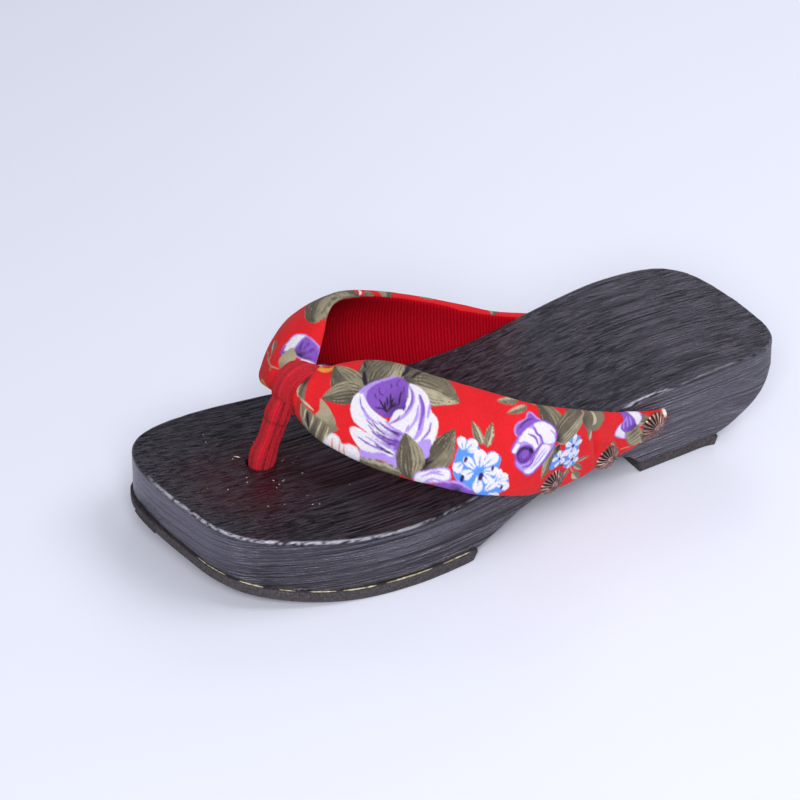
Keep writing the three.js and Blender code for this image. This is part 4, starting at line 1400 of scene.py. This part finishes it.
def paint_outer_wing(cloth):
    """The outer wing from the loop to the nailed end."""
    cloth.stroke([(2.6, -2.2), (5.4, -2.6), (7.6, -4.4), (8, -7.8)], 1.9, ORANGE)
    cloth.leaves(
              ((28.4, -20.4), (34, -34.4), 5.0, 0.22, 0, 0.9),
              ((29, -20), (49.2, -29.6), 7.6, 0.74, -1.4, 0.7),
              ((23.8, -10), (12.4, -20), 5.4, 0.5, 1, 0.5),
              ((24, -11), (19.4, -27.4), 7.0, 0.62, 1.2, 0.6),
              ((24.4, -7.4), (7.4, -7.2), 6.0, 0.45, -1.4, 0.4),
              ((23.8, -8), (15, 4.4), 4.6, 0.42, 1, 0.3),
              ((57.2, -3.6), (54.8, -22), 5.0, 0.34, 1.6, 0.8),
              ((66.4, -25.8), (61.6, -33.2), 1.6, 0.95), ((64.8, -25.2), (56.8, -28.4), 1.6, 0.95),
              ((62.4, -45), (57.2, -39.4), 1.4, 0.95), ((66, -46), (62.6, -38.8), 1.3, 0.95),
              ((83, -46.4), (67.4, -50), 4.4, 0.3, 1, 0.5),
              ((82.8, -46), (85, -62), 5.6, 0.62, -0.8, 0.9),
              ((85, -46.2), (91.2, -33.6), 2.9, 0.6, 0.8, 1.0), ((97, -20.4), (86, -19.4), 1.2, 0.95))
    cloth.patch([(85.6, -59.6), (89, -66), (95, -68), (97.4, -62.4), (96.9, -56.8), (93, -58),
                 (88, -58.2)], OLIVE,
                shade=(DARK_OLIVE, (88, -59), 6))
    cloth.stroke([(89.6, -64.4), (93.4, -62), (96.4, -57.4)], 1.7, PALE_KHAKI)
    cloth.stroke([(61.4, -45.6), (64, -47), (68, -48.6)], 0.5, KHAKI)
    for line, width in (([(17.4, -13), (20, -11.2), (23.2, -9.6)], 1.6),
                        ([(13.6, -15.8), (16.6, -14.4)], 0.6),
                        ([(26, -26), (27.6, -24), (28.4, -21.4)], 1.5),
                        ([(31.6, -28.6), (31, -26), (31.2, -23.2)], 1.0),
                        ([(54.2, -10.8), (55.8, -8), (57, -3.8)], 1.0),
                        ([(57.8, -9), (57, -6), (57, -3.8)], 0.9)):
        cloth.stroke(line, width, INK)
    paint_big_rose(cloth)
    cloth.leaf((56.6, 0.8), (44.8, -8.6), 5.0, 0.5, 0.6, 0.3)
    cloth.leaf((53.4, 2.2), (37, 10.4), 2.1, 0.7)
    cloth.patch([(14.8, 4.6), (20, 5), (24, 6.4), (26.4, 8.4), (22, 9.6), (17.4, 9.9), (17.3, 7.6)],
                KHAKI,
                shade=(OLIVE, (25, 9), 5))
    cloth.patch([(10.6, 10), (17, 10), (24, 8.4), (26.6, 7.2), (26, 10), (25.2, 15), (20, 17),
                 (15, 15.6), (12.6, 12)],
                OLIVE, shade=(DARK_OLIVE, (19, 16), 6))
    for k in range(7):
        x = 13.6 + 1.7 * k
        cloth.stroke([(x, 10.6 - 0.2 * k), (x + 1.1, 12.6), (x + 1.6, 15)], 0.5,
                     (PALE_KHAKI, DARK_OLIVE)[k % 2])
    cloth.stroke([(14.4, 10.6), (16, 12.6), (18.4, 14.8)], 0.9, INK)
    cloth.patch([(25.4, 15.6), (25.6, 10.6), (28, 9.1), (31, 9.8), (33, 8), (36, 7), (39, 8.8),
                 (37, 12.4), (30, 15.4)], WHITE,
                rim=WHITE * 0.8)
    cloth.strokes(0.5, ORANGE, [(27, 10.8), (28.9, 13.4)], [(28, 12), (29.4, 14)],
                  [(30, 10), (31.6, 12.4)], [(32, 10), (33.6, 11.8)])
    cloth.patch([(3.2, -1), (5, 0.4), (8.6, 5.6), (11, 9.2), (6.6, 9.8), (4.6, 6), (3.4, 2.5)], OLIVE,
                shade=(INK, (6.4, 1), 5))
    cloth.stroke([(3.3, -0.8), (3.6, 3), (4.8, 7), (6.4, 9.7)], 0.7, PALE_KHAKI)
    cloth.stroke([(6.4, 9.7), (10.4, 9.3), (15.6, 9.2)], 0.8, PALE_KHAKI)
    cloth.stroke([(11, 10.6), (13.4, 13.2), (18, 15)], 0.9, KHAKI)
    cloth.patch([(56.6, -1.6), (59, -6), (62, -10.4), (64.5, -11), (66.4, -9), (65, -6), (62, -2.6),
                 (58.6, 1)], WHITE, rim=LILAC)
    cloth.strokes(0.7, LILAC, [(58.6, -2), (60.6, -6), (64, -8.4)],
                  [(60.6, -1.4), (62, -4.6), (65.4, -6.6)], [(59.6, -5.4), (62.4, -8.6)])
    paint_blossoms(cloth)
    cloth.patch([(63.6, -3.4), (66.4, -7.6), (69, -10.4), (73, -12), (76.4, -12.2), (74, -8), (68, -4)],
                PURPLE,
                shade=(INK, (71, -7.4), 3))
    cloth.stroke([(66, -7.4), (69, -10.4), (74, -12)], 0.9, LILAC)
    paint_small_rose(cloth)
    paint_bluebells(cloth)
    paint_sprig(cloth)
    paint_bud(cloth)
    cloth.patch([(119.4, -89.6), (122.6, -87.6), (121.6, -86.2), (119, -87.4)], WHITE, rim=ORANGE)
    cloth.leaf((111, -64.4), (113.8, -65.6), 0.8, 0.95)
    cloth.stroke([(118, -66), (119.4, -68.4), (121, -70)], 0.5, KHAKI)


def paint_inner_wing(cloth):
    """The inner wing; past what shows beside the loop the same motifs come back, turned."""
    cloth.leaf((-11.4, -13.2), (-34, -36), 4.8, 0.5, -0.6, 0.3)
    cloth.leaf((-35, -36), (-41, -38.4), 1.9, 0.95)
    cloth.stroke([(-33.6, -34), (-35.6, -33.8)], 1.2, WHITE)
    cloth.patch([(-13, -4.6), (-11.6, -7.4), (-8.6, -8.4), (-8, -3), (-8.4, -1), (-9.4, 2.7), (-11.6, 1),
                 (-12.4, -2)], WHITE,
                rim=LILAC)
    cloth.stroke([(-11.6, -0.6), (-10.4, 2.2), (-9, 0.4)], 1.2, PURPLE)
    cloth.patch([(-9.6, -8), (-6, -8.8), (-3.4, -6.6), (-2, -3.6), (-3.8, -0.8), (-7.2, -0.4),
                 (-9, -3.6)], PURPLE,
                rim=LILAC, shade=(INK, (-5.4, -0.8), 3.4))
    cloth.strokes(0.5, DEEP_PURPLE, [(-8.4, -6), (-7.2, -3.4)], [(-6.8, -7), (-6, -4)],
                  [(-5, -6.6), (-4.6, -4)], [(-7.6, -4.8), (-6.4, -2.4)])
    cloth.patch([(-9, -1.6), (-5.4, 0), (-5, 4), (-6, 6.8), (-9, 4.4)], KHAKI, shade=(OLIVE, (-6, 6), 3))
    cloth.patch([(-4, -0.8), (-1.8, -3), (-0.4, -1), (-2, 0.6)], WHITE)
    cloth.stroke([(-30, 5.6), (-24, 4.8), (-19, 5.9), (-14, 7.7), (-10, 8), (-7, 7.2)], 0.55, KHAKI)
    cloth.stroke([(-14, 7.7), (-14.6, 5.4)], 0.5, KHAKI)
    cloth.stroke([(-10.6, 8), (-10, 9.6)], 0.4, KHAKI)
    cloth.leaf((-19.4, 0), (-14.4, 5.6), 1.4, 0.95)
    cloth.patch([(-18, 15.6), (-15, 14.2), (-12, 14.6), (-12, 16.4), (-16, 17.4)], ORANGE)
    cloth.leaves(
            ((-43, -16), (-27, -20.6), 4.6, 0.7, 1, 0.8), ((-43, -16), (-37, -33), 5.6, 0.66, 1, 0.5),
            ((-43, -15), (-36, -3.6), 4.0, 0.4, 1, 0.4), ((-37, 10), (-31, -5), 4.4, 0.85, 0, 0.1),
            ((-34, 13), (-23, 2.4), 4.6, 0.8, 0, 0.1), ((-21, 16.6), (-25, 10.4), 1.9, 0.9),
            ((-50, -31), (-46, -45), 4.4, 0.6, 0, 0.9), ((-55, -30), (-62, -45), 4.2, 0.4, 0, 0.9))
    cloth.move((38, -9), (-58, -18), -70, 0.95)
    paint_big_rose(cloth)
    cloth.move((70, -18), (-80, -40), 100, 0.95)
    paint_blossoms(cloth)
    cloth.move((107, -47), (-50, -2), 215)
    paint_sprig(cloth)
    cloth.move((77, -38), (-99, -58), 150)
    paint_small_rose(cloth)
    cloth.move((107, -47), (-72, -50), 40)
    paint_sprig(cloth)
    cloth.move((94, -47), (-84, -27), 160)
    paint_bluebells(cloth)
    cloth.move()
    cloth.leaves(
            ((-92, -62), (-84, -70), 3.4, 0.6, 0, 0.7), ((-104, -64), (-108, -78), 3.6, 0.5, 0, 0.6),
            ((-92, -50), (-88, -38), 3.0, 0.45, 0, 0.6), ((-70, -8), (-63, -2), 2.2, 0.8),
            ((-66, -53), (-58, -46.6), 1.6, 0.95), ((-100, -46), (-94, -38), 1.6, 0.95))


def paint_print(cloth):
    if cloth.points[:, 0].mean() > 0:
        paint_outer_wing(cloth)
    else:
        paint_inner_wing(cloth)


# ---------------------------------------------------------------- the knitted thong

LOOP_WIDTH, LOOP_THICKNESS, LOOP_BITE = 11, 3.4, 0.6
WALE, COURSE = 0.95, 0.85          # pitch of the knit round the tube and along it
STEM_FOOT = 22                     # how far down the stem its foot bulges on the deck


def knit_height(around, along, ridge):
    """Relief of the knit, and its depth from 0 in the grooves to 1 on the yarn and its ridge; the material
    turns the depth into painted shade in the grooves and a painted highlight on the ridge.
    """
    wale = 0.5 + 0.5 * np.cos(2 * math.pi * around / WALE)
    shift = 0.25 * np.cos(2 * math.pi * around / WALE)
    course = 0.5 + 0.5 * np.cos(2 * math.pi * (along / COURSE + shift))
    yarn = wale * 0.6 + course * 0.4
    return 0.2 * yarn + 0.3 * ridge, np.clip(0.15 + 0.75 * yarn + 0.5 * ridge, 0, 1)


def build_loop(material):
    """The loop: the flat-pressed tube led once round the strap, fanning out over its top."""
    s, a, depth, _ = section(np.array([float(LOOP_ROW)]), faces=40, quarter=8, fold=8, inside=12)
    place = (s.back + unit(s.chord) * a[0][:, None] + s.outward * (depth[0] - LOOP_BITE)[:, None])
    centre = place.mean(0)
    hoop = arc_spaced(place, 40)
    ways = np.cross(np.roll(hoop, -1, axis=0) - np.roll(hoop, 1, axis=0), s.along[0])
    ways = unit(ways * np.sign(((hoop - centre) * ways).sum(-1))[:, None])
    hoop = hoop + ways * (LOOP_THICKNESS / 2)
    hoop = arc_spaced(spline(hoop, closed=True)(np.linspace(0, len(hoop), 1600, endpoint=False)), 190)
    length = steps(hoop).sum()
    tangent = unit(np.roll(hoop, -3, axis=0) - np.roll(hoop, 3, axis=0))
    away = unit(np.cross(tangent, s.along[0]))
    away = away * np.sign(((hoop - centre) * away).sum(-1))[:, None]
    side = np.cross(away, tangent)
    turn = full_turn(96)
    top = np.exp(-(((hoop - s.back[0]) @ unit(s.chord)[0]) / 7) ** 2)
    wide = (LOOP_WIDTH / 2 - 0.5 + 1.0 * top)[:,
                                              None] * np.sign(np.cos(turn)) * np.abs(np.cos(turn)) ** 0.8
    deep = (LOOP_THICKNESS / 2 - 0.15) * np.sign(np.sin(turn)) * np.abs(np.sin(turn)) ** 0.7
    along = np.linspace(0, length, len(hoop))[:, None]
    ridge = np.exp(-((wide - 0.6) / 0.45) ** 2) * (np.sin(turn) > 0)
    folds = -0.35 * np.exp(-((wide + 2.2) / 0.8) ** 2) - 0.3 * np.exp(-((wide - 3.1) / 0.7) ** 2)
    height, tone = knit_height(wide * 1.05, along, ridge)
    outward = (away[:, None] * np.sin(turn)[None, :, None] + side[:, None] * 0.5 * np.cos(turn)[None, :,
                                                                                                None])
    points = (hoop[:, None] + side[:, None] * wide[..., None] + away[:, None] * deep[None, :, None]
              + unit(outward) * (height + folds * (np.sin(turn) > 0))[..., None])
    made = piece("thong_loop", *hoop_skin(points), material, "knit_thong", ["thong"], sharp_angle=SOFT_SHARP)
    # painted shade in the knit's grooves and a painted highlight on the loop's ridge
    add_values(made.data, "depth", tone.ravel())


def build_stem(material):
    """The stem from under the loop into the deck: a soft ridge down it and deep folds beside."""
    route = spline(STEM_ROUTE)(np.linspace(0, len(STEM_ROUTE) - 1, 600))
    route = arc_spaced(route, 210, closed=False)
    tangent = unit(np.gradient(route, axis=0))
    side = np.tile((1.0, 0.0, 0.0), (len(route), 1))
    fore = unit(np.cross(tangent, side))
    turn = full_turn(132)
    way = side[:, None] * np.cos(turn)[None, :, None] + fore[:, None] * np.sin(turn)[None, :, None]
    length = np.linspace(0, steps(route).sum(), len(route))[:, None]
    heading = np.degrees(np.arctan2(way[..., 1], way[..., 0]))

    def off(angle, spread):
        gap = (heading - angle + 180) % 360 - 180
        return np.exp(-(gap / spread) ** 2)

    wobble = 6 * np.sin(length / 9)
    ridge = off(-52 + wobble, 6)
    folds = 1.0 * off(-22 + wobble, 6) + 0.8 * off(14, 7) + 0.5 * off(-88, 9) + 0.5 * off(50 - wobble, 8)
    seam = np.exp(-((length - 8.5) / 0.5) ** 2)
    swell = (0.25 * np.sin(length / 4.2) + 0.35 * np.exp(-((length - 5.5) / 3) ** 2)
             + 1.0 * np.exp(-((length - STEM_FOOT) / 4.5) ** 2))
    height, tone = knit_height(turn[None] * THONG_RADIUS, length, ridge)
    radius = THONG_RADIUS - 0.2 + swell + height - folds - 0.35 * seam
    radius = np.where(length > STEM_FOOT + 5, np.minimum(radius, THONG_RADIUS), radius)
    points = route[:, None] + way * radius[..., None]
    made = piece("thong_stem", *skin(points), material, "knit_thong", ["thong"], sharp_angle=SOFT_SHARP)
    # painted shade: the colour darkens in the folds and at the seam, and lightens on the ridge
    depth = np.clip(tone - 0.7 * folds - 0.5 * seam, 0, 1)
    add_values(made.data, "depth", np.append(depth.ravel(), (0.5, 0.5)))


def build_knot(material):
    """The knot in its recess under the deck: two turns of the tube wound on each other."""
    parts = []
    for radius, z, tilt in ((4.6, KNOT_MIDDLE + 1.2, 8), (4.9, KNOT_MIDDLE - 1.4, -9)):
        turn = full_turn(72)
        hoop = np.column_stack([THONG_X + radius * np.cos(turn), THONG_Y + radius * np.sin(turn),
                                z + 0.7 * np.sin(turn + math.radians(tilt * 9))])
        away = np.column_stack([np.cos(turn), np.sin(turn), np.zeros(len(turn))])
        up = np.tile((0.0, 0.0, 1.0), (len(turn), 1))
        round_ = full_turn(28)
        thick = np.array([3.3, 1.9]) + 0.12 * np.cos(9 * round_)[:, None]
        parts.append(hoop_skin(hoop[:, None] + away[:, None] * (thick[:, 0] * np.cos(round_))[None, :,
                                                                                              None]
                               + up[:, None] * (thick[:, 1] * np.sin(round_))[None, :, None]))
    vertices, faces = joined(parts)
    made = piece("thong_knot", vertices, faces, material, "knit_thong", ["thong"], sharp_angle=SOFT_SHARP)
    add_values(made.data, "depth", np.full(len(vertices), 0.6))


# ---------------------------------------------------------------- the tacks

TACK_SEAT = 0.55            # how far a head sits in the dimple it presses in the cloth
FLUTES = 17
HEAD_SIZE = 1.03            # the visible heads against the CAD ones


def tack_axes(row, across):
    """A tack's seat and its own three directions, as the CAD tack stands."""
    place, facing = on_strap(row, across)
    facing = unit(facing * (1, 1, TACK_LIFT))
    side = unit(np.cross(facing, (0, 0, 1)))
    return place - facing * TACK_SEAT, side, np.cross(side, facing), facing


def build_tack(name, row, across, turn_start, material):
    """A domed head with a small boss, radial flutes and a scalloped edge, on a short shank."""
    seat, side, up, facing = tack_axes(row, across)
    turn = full_turn(FLUTES * 8) + turn_start
    wave = 0.5 + 0.5 * np.cos(FLUTES * turn)
    ridge = smoothstep(wave, 0.25, 0.75)
    # Radius and height of the dome from its middle to its edge, and how deep the flutes are there.
    profile = [(0.02, 2.3, 0), (0.35, 2.34, 0), (0.62, 2.42, 0), (0.9, 2.36, 0), (1.1, 2.1, 0.5),
               (1.3, 1.95, 1),
               (1.7, 2.1, 1), (2.2, 2.02, 1), (2.8, 1.86, 1), (3.4, 1.64, 1), (4.0, 1.36, 1),
               (4.5, 1.06, 1),
               (4.9, 0.74, 1), (5.2, 0.4, 0.9), (5.32, 0.1, 0.7), (5.2, -0.1, 0.5), (4.7, -0.15, 0),
               (1.2, -0.15, 0),
               (0.9, -0.6, 0), (0.85, -5, 0), (0.4, -6.4, 0), (0.02, -6.6, 0)]
    rings, depths = [], []
    for radius, height, depth in profile:
        radius = radius * (HEAD_SIZE if radius > 1 else 1)
        sunk = depth * (1 - ridge) * 0.55
        height = height * 1.2
        scallop = radius * (1 - 0.035 * depth * (1 - ridge))
        rings.append(seat + side * (scallop * np.cos(turn))[:, None] + up * (scallop * np.sin(turn))[:,
                                                                                                     None]
                     + facing * (height - sunk + 0 * turn)[:, None])
        # depth: dark in the flutes and round the boss, partly tarnish and partly painted shade
        depths.append(1 - depth * (1 - ridge) * 0.95 + 0 * turn)
    made = piece(name, *skin(np.array(rings)), material, "aged_bronze", [name.replace("_head", "")],
                 sharp_angle=60)
    add_values(made.data, "depth", np.append(np.concatenate(depths), (0.8, 0.3)))


def build_tacks(material):
    for k, (name, (row, across)) in enumerate(TACK_PLACES.items()):
        build_tack(f"tack_{name}_head", row, across, 0.4 * k, material)


# ---------------------------------------------------------------- dust and a stray fibre


def fleck(centre, size, lengthwise, heading, random):
    """A tiny rough crumb of 6 corners."""
    ways = np.array([(1, 0, 0), (0, 1, 0), (-1, 0, 0), (0, -1, 0), (0, 0, 1), (0, 0, -1)], float)
    ways *= (size * lengthwise, size, size * 0.5)
    ways *= 1 + 0.3 * random.uniform(-1, 1, (6, 1))
    c, s = math.cos(heading), math.sin(heading)
    ways[:, :2] = ways[:, :2] @ np.array([[c, s], [-s, c]])
    faces = [(0, 1, 4), (1, 2, 4), (2, 3, 4), (3, 0, 4), (1, 0, 5), (2, 1, 5), (3, 2, 5), (0, 3, 5)]
    return centre + ways, [np.array(faces)]


def build_dust(material):
    """Pale specks scattered on the deck, thickest by the thong, and one fibre at its hole."""
    random = np.random.default_rng(12)
    parts = []
    for spread, count in ((13, 26), (30, 22), (70, 16)):
        for _ in range(count):
            x, y = random.normal((THONG_X + 2, THONG_Y), spread)
            if abs(x + 2) < 36 and -108 < y < 100 and np.hypot(x - THONG_X, y - THONG_Y) > 6:
                at = np.array([x, y, deck_height(y) + 0.12])
                parts.append(fleck(at, random.uniform(0.09, 0.24), random.uniform(1, 2),
                                   random.uniform(0, 6), random))
    at = np.array([THONG_X - 6.2, THONG_Y - 5.6, deck_height(THONG_Y - 5.6) + 0.3])
    parts.append(fleck(at, 0.42, 3.2, math.radians(42), random))
    piece("dust_flecks", *joined(parts), material, "print_cotton", sharp_angle=20)


# ---------------------------------------------------------------- floor, light and camera

VIEW_AZIMUTH, VIEW_ELEVATION, VIEW_ROLL = 60.28, 33.34, -0.33    # degrees
VIEW_DISTANCE, VIEW_LENS = 1157.7, 136.6                         # mm
VIEW_TARGET = (-54.1, 4.3, 0)                                    # mm, the floor at the view's middle


def build_camera():
    a, e, roll = (math.radians(v) for v in (VIEW_AZIMUTH, VIEW_ELEVATION, VIEW_ROLL))
    back = np.array([math.sin(a) * math.cos(e), -math.cos(a) * math.cos(e), math.sin(e)])
    right = np.array([math.cos(a), math.sin(a), 0])
    up = np.cross(back, right)
    right, up = math.cos(roll) * right + math.sin(roll) * up, math.cos(roll) * up - math.sin(roll) * right
    data = bpy.data.cameras.new("camera")
    data.sensor_width = 36
    data.lens = VIEW_LENS
    data.clip_start, data.clip_end = 0.05, 20
    camera = add_object("camera", data)
    place = in_metres(np.array(VIEW_TARGET) + back * VIEW_DISTANCE)
    turned = Matrix([[*map(float, axis)] for axis in (right, up, back)]).transposed()
    camera.matrix_world = Matrix.Translation(place) @ turned.to_4x4()
    bpy.context.scene.camera = camera


def build_floor():
    """A pale, slightly glossy table top that runs out of sight."""
    m = Nodes("pale_floor")
    m.set(Base_Color=rgba(236, 239, 253), Roughness=0.42, Specular_IOR_Level=0.35)
    reach = 4.0
    mesh = bpy.data.meshes.new("floor")
    mesh.from_pydata([(-reach, -reach, 0), (reach, -reach, 0), (reach, reach, 0), (-reach, reach, 0)],
                     [], [(0, 1, 2, 3)])
    floor = add_object("floor", mesh)
    floor.data.materials.append(m.material)


def area_light(name, place, target, size, power, colour=(1, 1, 1)):
    data = bpy.data.lights.new(name, "AREA")
    data.shape = "RECTANGLE"
    data.size, data.size_y = size
    data.energy = power
    data.color = colour
    light = add_object(name, data)
    light.location = place
    light.rotation_mode = "QUATERNION"
    light.rotation_quaternion = (Vector(target) - Vector(place)).to_track_quat("-Z", "Y")


def build_light():
    """A dim bluish room with two softboxes behind the shoe and a strong one in front."""
    world = bpy.data.worlds.new("studio")
    world.use_nodes = True
    background = world.node_tree.nodes["Background"]
    background.inputs["Color"].default_value = (0.84, 0.90, 1.0, 1)
    background.inputs["Strength"].default_value = 0.26
    bpy.context.scene.world = world
    area_light("key", (0.45, 0.95, 1.5), (0, 0, 0), (1.3, 1.1), 13.5, (1, 0.985, 0.99))
    area_light("back", (-1.05, 1.0, 0.88), (0, 0.1, 0.03), (0.9, 0.8), 3.6, (0.95, 0.93, 1))
    area_light("front", (1.5, -0.9, 1.25), (0, 0, 0.03), (1.1, 1.0), 38, (1, 0.985, 0.985))
    bpy.context.scene.view_settings.view_transform = "Standard"


def build_all():
    build_camera()
    build_floor()
    build_light()
    build_body(wood_material())
    build_treads(rubber_material())
    build_glue(glue_material())
    cotton, lining = print_material(), lining_material()
    build_cover("strap_cover_outer", LOOP_ROW, LAST_ROW, cotton, ["strap"])
    build_cover("strap_cover_inner", LOOP_ROW, 0, cotton, ["strap"])
    build_lining("strap_lining_outer", LOOP_ROW, LAST_ROW, lining)
    build_lining("strap_lining_inner", LOOP_ROW, 0, lining)
    knit = knit_material()
    build_loop(knit)
    build_stem(knit)
    build_knot(knit)
    build_tacks(bronze_material())
    build_dust(fleck_material())


build_all()
bpy.context.view_layer.update()
